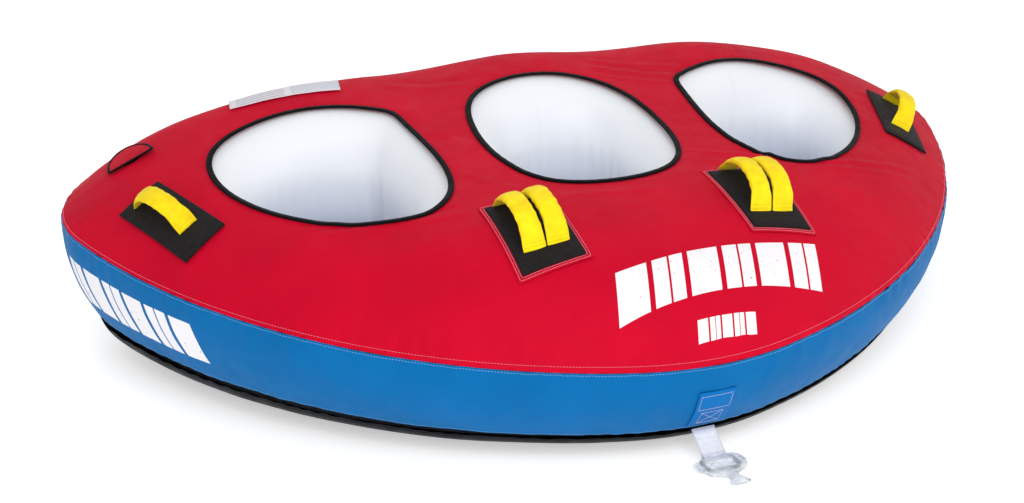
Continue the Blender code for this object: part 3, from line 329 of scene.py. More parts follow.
def stitches(path, up, pitch=0.006, length=0.0042, radius=0.0006, closed=True):
    """Thread stitches along a path with the surface's normals."""
    path, up = np.asarray(path, float), np.asarray(up, float)
    if closed:
        path, up = np.vstack([path, path[:1]]), np.vstack([up, up[:1]])
    run = np.r_[0, np.cumsum(np.linalg.norm(np.diff(path, axis=0), axis=1))]
    count = max(1, int(run[-1] / pitch))
    starts = (np.arange(count) + 0.5) * run[-1] / count - length / 2

    def at(values, where):
        return np.column_stack([np.interp(where, run, c) for c in values.T])
    stations, sides = (0.0, 0.3, 0.7, 1.0), 5
    rings = []
    for share in stations:
        where = starts + share * length
        spot, normal = at(path, where), at(up, where)
        ahead = at(path, where + 0.0004) - at(path, where - 0.0004)
        ahead /= np.linalg.norm(ahead, axis=1)[:, None] + 1e-12
        side = np.cross(ahead, normal)
        size = radius * (0.55 if share in (0.0, 1.0) else 1.0)
        lift = radius * (-0.4 if share in (0.0, 1.0) else 0.7)
        for k in range(sides):
            turn = 2 * math.pi * k / sides
            rings.append(spot + normal * (lift + size * math.sin(turn)) + side * size * math.cos(turn))
    verts = np.stack(rings, 1)
    cells = []
    for s in range(len(stations) - 1):
        for k in range(sides):
            m = (k + 1) % sides
            cells.append([s * sides + k, s * sides + m, (s + 1) * sides + m, (s + 1) * sides + k])
    ends = [list(reversed(range(sides))), list(range((len(stations) - 1) * sides, len(stations) * sides))]
    faces = []
    for n in range(count):
        base = n * len(stations) * sides
        faces += [[base + k for k in f] for f in cells + ends]
    return verts.reshape(-1, 3), faces


def inside(points, loop):
    x, y = points[:, 0], points[:, 1]
    hit = np.zeros(len(points), bool)
    for (x1, y1), (x2, y2) in zip(loop, np.roll(loop, -1, 0)):
        if y1 == y2:
            continue
        cross = ((y1 > y) != (y2 > y)) & (x < x1 + (y - y1) * (x2 - x1) / (y2 - y1))
        hit ^= cross
    return hit


def plan_fill(border, holes, spacing):
    """Triangles of the plan inside border and outside holes: points and faces."""
    loops = [border] + holes
    fixed = np.vstack(loops)
    tree = KDTree(len(fixed))
    for k, p in enumerate(fixed):
        tree.insert((p[0], p[1], 0.0), k)
    tree.balance()
    low, high = border.min(0), border.max(0)
    spots = []
    for row, y in enumerate(np.arange(low[1] + spacing / 2, high[1], spacing * 0.87)):
        x = np.arange(low[0] + spacing * (0.5 if row % 2 else 1.0), high[0], spacing)
        spots.append(np.c_[x, np.full(len(x), y)])
    spots = np.vstack(spots)
    keep = inside(spots, border)
    for hole in holes:
        keep &= ~inside(spots, hole)
    spots = spots[keep]
    spots = np.array([p for p in spots if tree.find((p[0], p[1], 0.0))[2] > spacing * 0.6])
    edges, start = [], 0
    for loop in loops:
        edges += [(start + i, start + (i + 1) % len(loop)) for i in range(len(loop))]
        start += len(loop)
    given = np.vstack([fixed, spots])
    found, _, faces, origin, _, _ = delaunay_2d_cdt([Vector(p) for p in given], edges, [], 0, 1e-6)
    flat = np.array([given[rows[0]] if rows else tuple(p) for p, rows in zip(found, origin)])
    faces = np.array([tuple(f) for f in faces])
    middle = flat[faces].mean(1)
    keep = inside(middle, border)
    for hole in holes:
        keep &= ~inside(middle, hole)
    return flat, faces[keep]


def weld(verts, faces, gap=1e-5):
    """Merge vertices that lie on each other."""
    key = np.round(np.asarray(verts) / gap).astype(np.int64)
    _, first, back = np.unique(key, axis=0, return_index=True, return_inverse=True)
    back = back.ravel()
    out = []
    for face in faces:
        ring = list(dict.fromkeys(int(back[k]) for k in face))
        if len(ring) > 2:
            out.append(ring)
    return np.asarray(verts)[first], out, first


# --- materials ------------------------------------------------------------------------------------

def srgb(r, g, b):
    return tuple(((c / 255 + 0.055) / 1.055) ** 2.4 if c > 10 else c / 255 / 12.92 for c in (r, g, b))


class Look:
    """A Principled material and short calls for the nodes behind it."""

    def __init__(self, name, colour, rough, fixed=()):
        self.made = bpy.data.materials.new(name)
        self.made.use_nodes = True
        self.tree = self.made.node_tree
        self.shader = self.tree.nodes["Principled BSDF"]
        self.base = colour
        self.shader.inputs["Base Color"].default_value = (*colour, 1.0)
        self.shader.inputs["Roughness"].default_value = rough
        for key, value in dict(fixed).items():
            self.shader.inputs[key].default_value = value
        self.coords = self.node("ShaderNodeTexCoord")
        self.place = self.coords.outputs["Object"]
        self.normal = None

    def node(self, kind, inputs=(), **settings):
        made = self.tree.nodes.new(kind)
        for key, value in settings.items():
            setattr(made, key, value)
        for key, value in dict(inputs).items():
            self.put(made.inputs[key], value)
        return made

    def put(self, socket, value):
        if isinstance(value, bpy.types.NodeSocket):
            self.tree.links.new(value, socket)
        else:
            socket.default_value = value

    def maths(self, how, a, b=0.0):
        return self.node("ShaderNodeMath", {0: a, 1: b}, operation=how).outputs[0]

    def scaled(self, stretch, turn=0.0, place=None):
        made = self.node("ShaderNodeMapping", {"Vector": place or self.place})
        made.inputs["Scale"].default_value = stretch
        made.inputs["Rotation"].default_value = (0.0, 0.0, turn)
        return made.outputs[0]

    def noise(self, scale, detail=3.0, stretch=None, turn=0.0):
        place = self.scaled(stretch, turn) if stretch else self.place
        return self.node("ShaderNodeTexNoise", {"Vector": place, "Scale": scale, "Detail": detail}).outputs[0]

    def ramp(self, value, low, high, to_low=0.0, to_high=1.0):
        return self.node("ShaderNodeMapRange", {0: value, 1: low, 2: high, 3: to_low, 4: to_high}).outputs[0]

    def mix(self, factor, a, b):
        made = self.node("ShaderNodeMix", data_type="RGBA")
        for index, value in ((0, factor), (6, a), (7, b)):
            if isinstance(value, tuple):
                value = (*value[:3], 1.0)
            self.put(made.inputs[index], value)
        return made.outputs[2]

    def weave(self, pitch, depth, turn=0.0):
        """Two crossed thread waves as a bump."""
        scale = 0.314 / pitch
        place = self.scaled((1, 1, 1), turn) if turn else self.place
        waves = []
        for axis in ("X", "Y", "Z"):
            made = self.node("ShaderNodeTexWave", {"Vector": place, "Scale": scale}, bands_direction=axis)
            waves.append(made.outputs["Fac"])
        height = self.maths("ADD", self.maths("MULTIPLY", waves[0], waves[1]), waves[2])
        self.bump(height, depth)

    def bump(self, height, depth, strength=1.0):
        made = self.node("ShaderNodeBump", {"Height": height, "Distance": depth, "Strength": strength})
        if self.normal:
            self.tree.links.new(self.normal, made.inputs["Normal"])
        self.normal = made.outputs[0]
        self.tree.links.new(self.normal, self.shader.inputs["Normal"])

    def shade(self, scale, amount, tint=(1.0, 1.0, 1.0)):
        """Cloudy variation of the base colour."""
        dark = tuple(c * (1 - amount) * t for c, t in zip(self.base, tint))
        light = tuple(min(1.0, c * (1 + amount)) for c in self.base)
        cloud = self.ramp(self.noise(scale, 4.0), 0.3, 0.7)
        colour = self.mix(cloud, dark, light)
        self.colour(colour)
        return colour

    def colour(self, socket):
        self.tree.links.new(socket, self.shader.inputs["Base Color"])

    def rough(self, scale, low, high):
        self.tree.links.new(self.ramp(self.noise(scale, 3.0), 0.35, 0.65, low, high),
                            self.shader.inputs["Roughness"])


def nylon(name, colour, amount=0.07, sheen=0.03, rough=(0.50, 0.62), weave=0.0011):
    """Coated pack cloth: crossed threads, faint crumples and cloudy colour."""
    look = Look(name, colour, 0.55, {"Sheen Weight": sheen, "Sheen Roughness": 0.4,
                                     "Specular IOR Level": 0.06})
    look.rough(26.0, *rough)
    look.bump(look.noise(17.0, 5.0, (1.0, 1.7, 1.0)), 0.0035, 0.35)
    look.bump(look.noise(60.0, 3.0), 0.0006, 0.5)
    look.weave(weave, 0.00012)
    return look, look.shade(7.0, amount)


def block_print(look, ground, plan_uv, middle, half_v, pitch, count, slant, tilt, ink):
    """A row of plain slanted bars printed on the cloth, every second one split by a thin slit."""
    split = look.node("ShaderNodeSeparateXYZ", {0: plan_uv})
    u = look.maths("SUBTRACT", split.outputs[0], middle[0])
    v = look.maths("SUBTRACT", look.maths("SUBTRACT", split.outputs[1], middle[1]),
                   look.maths("MULTIPLY", u, tilt))
    leaned = look.maths("SUBTRACT", u, look.maths("MULTIPLY", v, slant))
    cell = look.maths("ADD", look.maths("DIVIDE", leaned, pitch), count / 2)
    part = look.maths("FRACT", cell)
    bar = look.maths("GREATER_THAN", part, 0.15)
    wide = look.maths("LESS_THAN", look.maths("ABSOLUTE", leaned), count / 2 * pitch - 0.0004)
    tall = look.maths("LESS_THAN", look.maths("ABSOLUTE", v), half_v)
    odd = look.maths("GREATER_THAN", look.maths("FRACT", look.maths("MULTIPLY", look.maths(
        "FLOOR", cell), 0.5)), 0.25)
    slit = look.maths("LESS_THAN", look.maths("ABSOLUTE", look.maths("SUBTRACT", part, 0.60)), 0.030)
    mask = look.maths("MULTIPLY", look.maths("MULTIPLY", bar, wide), tall)
    mask = look.maths("MULTIPLY", mask, look.maths("SUBTRACT", 1.0, look.maths("MULTIPLY", slit, odd)))
    worn = look.ramp(look.noise(160.0, 3.0), 0.22, 0.34)
    return look.mix(look.maths("MULTIPLY", mask, worn), ground, ink)


RED_RGB, BLUE_RGB = srgb(199, 2, 40), srgb(1, 103, 166)
INK = srgb(238, 236, 240)

red_look, red_ground = nylon("red_cover_cloth", RED_RGB)
red_plan = red_look.node("ShaderNodeUVMap").outputs[0]
red_ground = block_print(red_look, red_ground, red_plan, (0.062, -0.571), 0.041, 0.080, 6, 0.35, 0.055, INK)
red_ground = block_print(red_look, red_ground, red_plan, (0.033, -0.661), 0.013, 0.027, 5, 0.35, 0.03, INK)
red_look.colour(red_ground)
RED = red_look.made
blue_look, blue_ground = nylon("blue_band_cloth", BLUE_RGB)
blue_plan = blue_look.node("ShaderNodeUVMap").outputs[0]
blue_ground = block_print(blue_look, blue_ground, blue_plan, (4.055, 0.49), 0.235, 0.070, 6, -0.05, 0.0, INK)
blue_look.colour(blue_ground)
BLUE = blue_look.made
PATCH_RED = nylon("red_patch_cloth", srgb(196, 6, 40))[0].made
PATCH_BLUE = nylon("blue_patch_cloth", srgb(3, 108, 180))[0].made
BLACK = nylon("black_base_cloth", srgb(11, 14, 20), 0.25, 0.03, (0.42, 0.58), 0.0016)[0].made
BINDING = nylon("black_binding_tape", srgb(10, 12, 16), 0.2, 0.06, (0.5, 0.7), 0.0009)[0].made


def vinyl():
    look = Look("white_vinyl", srgb(240, 243, 248), 0.4, {"Coat Weight": 0.12, "Coat Roughness": 0.3,
                                                          "Specular IOR Level": 0.4,
                                                          "Subsurface Weight": 0.05,
                                                          "Subsurface Radius": (0.02, 0.02, 0.02),
                                                          "Subsurface Scale": 0.3})
    look.rough(9.0, 0.42, 0.54)
    look.bump(look.noise(6.0, 4.0), 0.003, 0.15)
    look.bump(look.noise(420.0, 2.0), 0.00008, 0.5)
    # painted shade: the vinyl's colour turns grey-blue towards the bottom of the wells (object height 0.41
    # down to 0.27 m), standing in for the shade deep in the wells; a faint random cloud of tone is added on
    # top
    split = look.node("ShaderNodeSeparateXYZ", {0: look.place})
    painted_well_shade = look.ramp(split.outputs[2], 0.27, 0.41)
    cloud = look.ramp(look.noise(5.0, 3.0), 0.3, 0.7)
    painted_well_shade = look.maths("ADD", painted_well_shade, look.maths("MULTIPLY", cloud, 0.06))
    look.colour(look.mix(painted_well_shade, srgb(196, 203, 218), look.base))
    return look.made


def yellow():
    look = Look("yellow_sleeve_cloth", srgb(250, 224, 8), 0.6, {"Sheen Weight": 0.08, "Sheen Roughness": 0.4,
                                                            "Specular IOR Level": 0.2})
    look.rough(60.0, 0.5, 0.68)
    look.bump(look.noise(130.0, 3.0, (1.0, 0.4, 1.0)), 0.0012, 0.55)
    look.weave(0.0009, 0.0001)
    look.shade(40.0, 0.07, (1.0, 0.9, 0.7))
    return look.made


def neoprene():
    look = Look("black_foam_pad", srgb(16, 12, 16), 0.8, {"Sheen Weight": 0.04, "Sheen Roughness": 0.5,
                                                      "Specular IOR Level": 0.25})
    look.rough(80.0, 0.7, 0.85)
    look.bump(look.noise(900.0, 2.0), 0.0002, 0.6)
    look.bump(look.noise(45.0, 3.0), 0.0008, 0.4)
    look.shade(30.0, 0.2)
    return look.made


def webbing(name, colour, pitch=0.0022):
    look = Look(name, colour, 0.65, {"Sheen Weight": 0.08, "Specular IOR Level": 0.25})
    look.rough(120.0, 0.55, 0.72)
    look.weave(pitch, 0.0004)
    look.shade(50.0, 0.05)
    return look.made


def thread(name, colour):
    look = Look(name, colour, 0.6, {"Sheen Weight": 0.1, "Specular IOR Level": 0.25})
    look.bump(look.noise(1500.0, 1.0), 0.0002, 0.6)
    look.shade(300.0, 0.08)
    return look.made


def plastic(name, colour, rough=0.4, grain=700.0):
    look = Look(name, colour, rough)
    look.rough(40.0, rough - 0.06, rough + 0.08)
    look.bump(look.noise(grain, 2.0), 0.0001, 0.5)
    look.shade(25.0, 0.06)
    return look.made


def steel():
    look = Look("eyelet_steel", (0.62, 0.62, 0.63), 0.3, {"Metallic": 1.0})
    look.rough(300.0, 0.22, 0.4)
    look.bump(look.noise(500.0, 2.0, (1, 6, 1)), 0.0001, 0.4)
    return look.made


def film():
    look = Look("clear_film", srgb(232, 236, 240), 0.25, {"Coat Weight": 0.5, "Coat Roughness": 0.15,
                                                         "Transmission Weight": 0.25, "IOR": 1.2})
    look.rough(50.0, 0.15, 0.4)
    look.bump(look.noise(70.0, 4.0), 0.006, 0.7)
    look.tree.links.new(look.ramp(look.noise(45.0, 3.0), 0.35, 0.7, 0.50, 0.95),
                        look.shader.inputs["Alpha"])
    look.shade(40.0, 0.04)
    return look.made


def label():
    look = Look("label_satin", srgb(214, 211, 220), 0.5, {"Sheen Weight": 0.2})
    look.rough(90.0, 0.42, 0.56)
    look.weave(0.0007, 0.00008)
    place = look.node("ShaderNodeUVMap").outputs[0]
    split = look.node("ShaderNodeSeparateXYZ", {0: place})
    u, v = split.outputs[0], split.outputs[1]
    rows = look.maths("GREATER_THAN", look.maths("FRACT", look.maths("MULTIPLY", v, 5.0)), 0.55)
    rows = look.maths("MULTIPLY", rows, look.maths("LESS_THAN", look.maths("ABSOLUTE", look.maths(
        "SUBTRACT", u, 0.28)), 0.22))
    rim = look.maths("LESS_THAN", look.maths("ABSOLUTE", look.maths("SUBTRACT", v, 0.5)), 0.38)
    grey = look.mix(look.maths("GREATER_THAN", u, 0.56), srgb(226, 222, 228), srgb(203, 205, 216))
    colour = look.mix(look.maths("MULTIPLY", rows, rim), grey, srgb(176, 172, 186))
    look.colour(look.mix(rim, srgb(236, 226, 232), colour))
    return look.made


VINYL, YELLOW, NEOPRENE = vinyl(), yellow(), neoprene()
YELLOW_WEB = webbing("yellow_webbing", srgb(232, 205, 15), 0.0016)
WHITE_WEB = webbing("white_webbing", srgb(238, 238, 244))
DARK_WEB = webbing("black_webbing", srgb(18, 18, 20))
PINK_THREAD = thread("pink_thread", srgb(224, 128, 146))
PALE_THREAD = thread("pale_thread", srgb(206, 196, 216))
DARK_THREAD = thread("dark_thread", srgb(24, 24, 28))
SKY_THREAD = thread("sky_thread", srgb(120, 172, 214))
YELLOW_THREAD = thread("yellow_thread", srgb(214, 186, 20))
BLACK_PLASTIC = plastic("black_plastic", srgb(22, 22, 24))
VALVE_PLASTIC = plastic("valve_plastic", srgb(206, 210, 214), 0.35)
RUBBER = plastic("black_rubber", srgb(20, 20, 20), 0.62, 400.0)
STEEL, FILM, LABEL = steel(), film(), label()


# --- cover ----------------------------------------------------------------------------------------

# start and end of each fold in the stretched top, its half width and its height
FOLDS = ((0.17, -0.150, 0.47, -0.236, 0.007, 0.0030), (0.47, -0.236, 0.82, -0.190, 0.008, 0.0032),
         (0.18, -0.205, 0.44, -0.262, 0.006, 0.0024), (0.44, -0.262, 0.80, -0.232, 0.008, 0.0028),
         (0.15, 0.300, 0.40, 0.190, 0.008, 0.0026), (0.14, 0.260, 0.37, 0.160, 0.006, 0.0022),
         (0.16, 0.335, 0.42, 0.240, 0.007, 0.0018), (-0.36, 0.330, -0.13, 0.250, 0.010, 0.0016),
         (-0.70, -0.170, -0.32, -0.285, 0.011, 0.0024), (-0.74, -0.130, -0.40, -0.235, 0.008, 0.0018),
         (-0.28, -0.255, 0.10, -0.325, 0.012, 0.0018), (-0.31, -0.10, -0.20, -0.25, 0.008, 0.0014),
         (-0.86, -0.130, -0.74, -0.260, 0.009, 0.0018), (0.66, -0.300, 0.83, -0.250, 0.008, 0.0020),
         (0.86, -0.150, 0.95, -0.050, 0.008, 0.0018), (-0.30, 0.10, -0.22, -0.02, 0.007, 0.0012),
         (0.24, 0.05, 0.31, -0.08, 0.007, 0.0012), (-0.62, 0.37, -0.30, 0.40, 0.010, 0.0014))


def folds(x, y):
    """Height of the top cover's folds over its fair shape."""
    x, y = np.asarray(x, float), np.asarray(y, float)
    total = 0.0016 * field(x * 4.5 + 9, y * 8 + 3, 1) + 0.0007 * field(x * 11, y * 26 + 5, 2)
    for x0, y0, x1, y1, half, height in FOLDS:
        dx, dy = x1 - x0, y1 - y0
        size = math.hypot(dx, dy)
        t = ((x - x0) * dx + (y - y0) * dy) / size ** 2
        bow = 0.012 * np.sin(math.pi * np.clip(t, 0, 1)) + 0.004 * field(t * 4, 0 * t, 7)
        d = ((x - x0) * dy - (y - y0) * dx) / size - bow
        fade = smooth(t / 0.25) * smooth((1 - t) / 0.25)
        total = total + height * fade * (np.exp(-(d / half) ** 2) - 0.6 * np.exp(-((d + 1.9 * half) / (
            1.3 * half)) ** 2))
    share, _ = share_and_edge(x, y, UPPER_REACH)
    return total * smooth((1.0 - share) / 0.10)


def top_surface(x, y):
    return top_z(x, y) + folds(x, y)


def pucker(along, seed, waves=26.0):
    """Gathers along a sewn edge, 0 to 1; waves is their number in each metre."""
    drift = 0.9 * field(along * 7, 0 * along, seed)
    strength = 0.55 + 0.45 * field(along * 9, 0 * along + 5, seed + 1)
    return strength * (0.5 + 0.5 * np.cos(2 * math.pi * waves * along + 5 * drift))


def opening_rise(seat, away, steps=300):
    """Height of the top round an opening: it rolls down a little into the binding, in small gathers."""
    run = np.arange(steps) * OPENING_RUN / steps
    roll = -0.0024 * math.exp(-(away / 0.010) ** 2)
    return roll - 0.0012 * pucker(run, 31 + seat, 34.0) * math.exp(-((away - 0.006) / 0.012) ** 2)


def make_top():
    insets = (0.0006, 0.0014, 0.0026, 0.0042, 0.0065, 0.0095, 0.013, 0.017, 0.022, 0.028, 0.035, 0.043,
              0.052, 0.062, 0.072)
    loops = []
    for inset in insets:
        points = plan(inset)
        z = top_surface(points[:, 0], points[:, 1])
        dent = 0.0028 * pucker(ALONG, 11) * math.exp(-(inset / 0.020)) + 0.0016 * math.exp(-(
            inset / 0.003) ** 2) + 0.0012 * pucker(ALONG, 17, 11.0) * math.exp(-(inset / 0.045))
        points = points - EDGE[:, 2:] * dent[:, None] * 0.8
        loops.append(np.c_[points, z - dent * 0.6])
    outer = loft(loops)
    rings = []
    seats = {}
    for seat in SEATS.values():
        rows = []
        for away in (-0.002, 0.002, 0.006, 0.011, 0.017, 0.024):
            points = opening(seat, -away)
            rows.append(np.c_[points, top_surface(points[:, 0], points[:, 1]) + opening_rise(seat, away)])
        rings.append(loft(rows))
        seats[seat] = rows[-1][:, :2]
    turn = -np.arange(48) * 2 * math.pi / 48
    place = valve_place()
    access = np.array([tuple(place @ Vector((ACCESS_R * math.cos(t), ACCESS_R * math.sin(t), 0)))[:2]
                       for t in turn])
    flat, faces = plan_fill(loops[-1][:, :2], list(seats.values()) + [access], COARSE)
    z = top_surface(flat[:, 0], flat[:, 1])
    rims = np.vstack([loops[-1]] + [np.c_[seats[s], top_surface(seats[s][:, 0], seats[s][:, 1]) +
                                          opening_rise(s, 0.024)] for s in SEATS.values()])
    tree = KDTree(len(rims))
    for k, p in enumerate(rims):
        tree.insert((p[0], p[1], 0.0), k)
    tree.balance()
    for i, p in enumerate(flat):
        _, k, gap = tree.find((p[0], p[1], 0.0))
        if gap < 1e-4:
            z[i] = rims[k, 2]
    inner = (np.c_[flat, z], faces.tolist())
    verts, faces = join([outer] + rings + [inner])
    verts, faces, _ = weld(verts, faces, 2e-5)
    made = make("top_cover_cloth", verts, faces, RED, instead=["top_cover"], slot="red_nylon",
                uv=np.asarray(verts)[:, :2], outward=MIDDLE)
    return made


def band_rows():
    rows = sorted(set([0.008, 0.02, 0.04, 0.07, 0.11, ZIP_LOW, ZIP_HIGH, 0.90, 0.94, 0.965, 0.985, 0.992] +
                      [round(v, 3) for v in np.linspace(0.16, 0.85, 20)]))
    return [r for r in rows if abs(r - ZIP_LOW) > 0.012 and abs(r - ZIP_HIGH) > 0.012 or r in (
        ZIP_LOW, ZIP_HIGH)]


def band_surface(down):
    """Loop of the band's cloth with its gathers; they are deepest at the two seams."""
    points = band_point(down)
    near_top, near_low = math.exp(-down / 0.13), math.exp(-(1 - down) / 0.16)
    dent = 0.0030 * pucker(ALONG, 23) * near_top + 0.0030 * pucker(ALONG, 29) * near_low
    dent += 0.0016 * (math.exp(-(down / 0.02) ** 2) + math.exp(-((1 - down) / 0.02) ** 2))
    dent += 0.0014 * pucker(ALONG + 0.02 * down, 41, 9.0) * (0.4 + 0.6 * near_top)
    slant = field(ALONG * 16 + down * 2.2, 0 * ALONG + down * 1.4, 43)
    dent += 0.0011 * slant + 0.0008 * field(ALONG * 34 - down * 3, 0 * ALONG + down * 2.0, 47)
    calm = smooth((np.abs(EDGE[:, 0]) - ZIP_HALF - 0.01) / 0.05)
    calm = np.where(EDGE[:, 1] > 0.3, calm, 1.0)
    points[:, :2] -= EDGE[:, 2:] * (dent * (0.15 + 0.85 * calm))[:, None]
    return points


def make_band():
    rows = band_rows()
    loops = [band_surface(down) for down in rows]
    verts, faces = loft(loops)
    kept = []
    for face in faces:
        level, a, b = face[0] // ROUND, face[0] % ROUND, face[1] % ROUND
        window = rows[level] == ZIP_LOW or ZIP_LOW < rows[level] < ZIP_HIGH
        reach = max(abs(EDGE[a, 0]), abs(EDGE[b, 0]))
        if not (window and reach < ZIP_HALF - 0.002 and EDGE[a, 1] > 0.3):
            kept.append(face)
    uv = np.vstack([np.c_[ALONG, np.full(ROUND, down)] for down in rows])
    made = make("side_band_cloth", verts, kept, BLUE, instead=["side_band"], slot="blue_nylon", uv=uv,
                outward=MIDDLE)


def bottom_surface(points):
    wave = 0.0016 * (0.6 + 0.5 * field(points[:, 0] * 9, points[:, 1] * 9, 51))
    share, _ = share_and_edge(points[:, 0], points[:, 1], LOWER_REACH)
    return bottom_z(points[:, 0], points[:, 1]) + wave * smooth((share - 0.5) / 0.2)


def make_bottom():
    loops = []
    for inset in (0.0015, 0.004, 0.008, 0.013, 0.020, 0.030, 0.042, 0.056, 0.072, 0.09, 0.11, 0.13):
        points = plan(LOWER_INSET + inset)
        dent = 0.0026 * pucker(ALONG, 53, 22.0) * math.exp(-inset / 0.02)
        points = points - EDGE[:, 2:] * dent[:, None]
        loops.append(np.c_[points, bottom_surface(points) + dent * 0.3])
    holes = []
    for sign in (-1, 1):
        point = surface_frame(sign * 0.45, 0.215, bottom_z)[0]
        turn = -np.arange(28) * 2 * math.pi / 28
        holes.append(np.c_[point.x + GROMMET_HOLE_R * np.cos(turn),
                           point.y + GROMMET_HOLE_R * np.sin(turn)])
    flat, faces = plan_fill(loops[-1][::4, :2], holes, 0.026)
    z = bottom_surface(flat)
    verts, faces = join([loft(loops), (np.c_[flat, z], faces.tolist())])
    made = make("bottom_cover_cloth", verts, faces, BLACK, instead=["bottom_cover"], slot="black_nylon",
                outward=MIDDLE)


def make_seams():
    """Thread along the two seams of the band."""
    out = np.c_[EDGE[:, 2:], np.full(ROUND, 0.5)]
    out /= np.linalg.norm(out, axis=1)[:, None]
    upper = band_surface(0.030)
    level = np.c_[EDGE[:, 2:], np.zeros(ROUND)]
    points = plan(0.0062)
    dent = 0.0028 * pucker(ALONG, 11) * math.exp(-(0.0062 / 0.020))
    top_line = np.c_[points - EDGE[:, 2:] * dent[:, None] * 0.8,
                     top_surface(points[:, 0], points[:, 1]) - dent * 0.6]
    for name, line, up, look, slot in (("upper_seam", upper, level, SKY_THREAD, "blue_nylon"),
                                       ("top_edge", top_line, out, PINK_THREAD, "red_nylon"),
                                       ("lower_seam", band_surface(0.965), level, SKY_THREAD, "blue_nylon")):
        make(f"{name}_stitching", *stitches(line, up, *SEAM_STITCH), look, slot=slot)


def make_bindings():
    """Tape folded over the edge of each opening, with its thread."""
    count = 300
    for name, seat in SEATS.items():
        edge = opening(seat, 0.0, count)
        base = top_surface(edge[:, 0], edge[:, 1])
        run = np.arange(count) * OPENING_RUN / count
        ripple = 0.0005 * pucker(run, 61 + seat, 40.0)
        profile = []
        for k in range(16):
            turn = 2 * math.pi * k / 16
            bend = abs(math.cos(turn)) ** 0.6 * math.copysign(1, math.cos(turn))
            rise = abs(math.sin(turn)) ** 0.7 * math.copysign(1, math.sin(turn))
            profile.append((0.0030 + 0.0066 * bend, 0.0004 + 0.0030 * rise))
        loops = []
        for inset, lift in profile:
            points = opening(seat, inset, count)
            loops.append(np.c_[points, base + lift - (ripple if lift > 0 else 0)])
        verts, faces = loft(loops + loops[:1])
        verts, faces, _ = weld(verts, faces)
        made = make(f"cockpit_tape_{name}", verts, faces, BINDING, instead=[f"cockpit_binding_{name}"],
                    slot="black_nylon")
        line = opening(seat, -0.0006, count)
        up = np.tile((0.0, 0.0, 1.0), (count, 1))
        make(f"cockpit_tape_thread_{name}", *stitches(np.c_[line, base + 0.0034], up, 0.0058, 0.0036,
                                                      0.0005), DARK_THREAD, slot="black_nylon")
    return made


# --- valve ----------------------------------------------------------------------------------------

def frame_matrix(origin, across, along, normal):
    return Matrix.Translation(origin) @ Matrix((across, along, normal)).transposed().to_4x4()


def valve_place():
    point, normal = surface_frame(VALVE_X, VALVE_Y)
    across = Vector((1, 0, 0)) - normal * normal.x
    across.normalize()
    return frame_matrix(point, across, normal.cross(across), normal)


def flap_outline(radius, steps=64):
    arc = [(radius * math.cos(math.pi * k / steps),
            FLAP_HINGE + radius * FLAP_REACH * math.sin(math.pi * k / steps)) for k in range(steps + 1)]
    front = [(-radius + 2 * radius * k / 24, FLAP_HINGE) for k in range(1, 24)]
    return np.array(arc + front)


def placed(place, points):
    points = np.asarray(points, float)
    basis = np.array(place)
    return points @ basis[:3, :3].T + basis[:3, 3]


def make_flap():
    place = valve_place() @ Matrix.Translation((0, 0, FLAP_LIFT))
    edge = flap_outline(FLAP_R - 0.0035)
    centre = np.array((0.0, FLAP_HINGE + 0.038))
    loops = []
    for share in (1.0, 0.97, 0.9, 0.78, 0.62, 0.45, 0.28, 0.12):
        points = centre + (edge - centre) * share
        z = 0.0018 + 0.0032 * (1 - share ** 2) + 0.0006 * field(points[:, 0] * 60, points[:, 1] * 60, 71)
        loops.append(np.c_[points, z])
    upper = loops
    lower = [np.c_[loop[:, :2], loop[:, 2] - 0.0012] for loop in reversed(loops)]
    verts, faces = loft(upper + lower)
    count = len(edge)
    last = len(verts)
    top_mid = (centre[0], centre[1], 0.0018 + 0.0032)
    verts = np.vstack([verts, top_mid, (*top_mid[:2], top_mid[2] - 0.0012)])
    inner, inner_low = (len(upper) - 1) * count, len(upper) * count
    faces = [f for f in faces if not (inner <= f[0] < inner + count and f[2] >= inner_low)]
    for i in range(count):
        j = (i + 1) % count
        faces.append([inner + i, inner + j, last])
        faces.append([inner_low + j, inner_low + i, last + 1])
    rim_top, rim_low = 0, (len(upper) + len(lower) - 1) * count
    faces += [[rim_low + i, rim_low + (i + 1) % count, rim_top + (i + 1) % count, rim_top + i]
              for i in range(count)]
    made = make("valve_flap_cloth", placed(place, verts), faces, PATCH_RED, body="valve_flap",
                instead=["valve_flap"], slot="red_nylon")
    rim = flap_outline(FLAP_R - 0.0032)
    verts, faces = tube(np.c_[rim, np.full(len(rim), 0.0016)], 0.0034, 10, closed=True, flat=0.62)
    make("valve_flap_tape", placed(place, verts), faces, BINDING, body="valve_flap",
         instead=["valve_flap_binding"], slot="black_nylon")


# --- handles --------------------------------------------------------------------------------------

def pad_frame(x, y, turn):
    point, normal = surface_frame(x, y)
    along = Vector((math.sin(turn), math.cos(turn), 0.0))
    along = (along - normal * along.dot(normal)).normalized()
    return frame_matrix(point, along.cross(normal), along, normal)


def laid_grid(x, y, turn, us, vs, lift):
    """Grid of points that follow the top cover at a height over it, with their normals."""
    u, v = np.meshgrid(us, vs)
    px = x + u * math.cos(turn) + v * math.sin(turn)
    py = y - u * math.sin(turn) + v * math.cos(turn)
    step = 0.004
    sx = (top_z(px + step, py) - top_z(px - step, py)) / (2 * step)
    sy = (top_z(px, py + step) - top_z(px, py - step)) / (2 * step)
    normal = np.stack([-sx, -sy, np.ones_like(sx)], -1)
    normal /= np.linalg.norm(normal, axis=-1)[..., None]
    return np.stack([px, py, top_z(px, py)], -1) + normal * np.asarray(lift)[..., None], normal


def graded(half, steps, rim=0.0012):
    """Positions across a plate, with two close rows at each rim."""
    inner = np.linspace(-half + 0.004, half - 0.004, steps)
    return np.r_[-half, -half + rim, inner, half - rim, half]


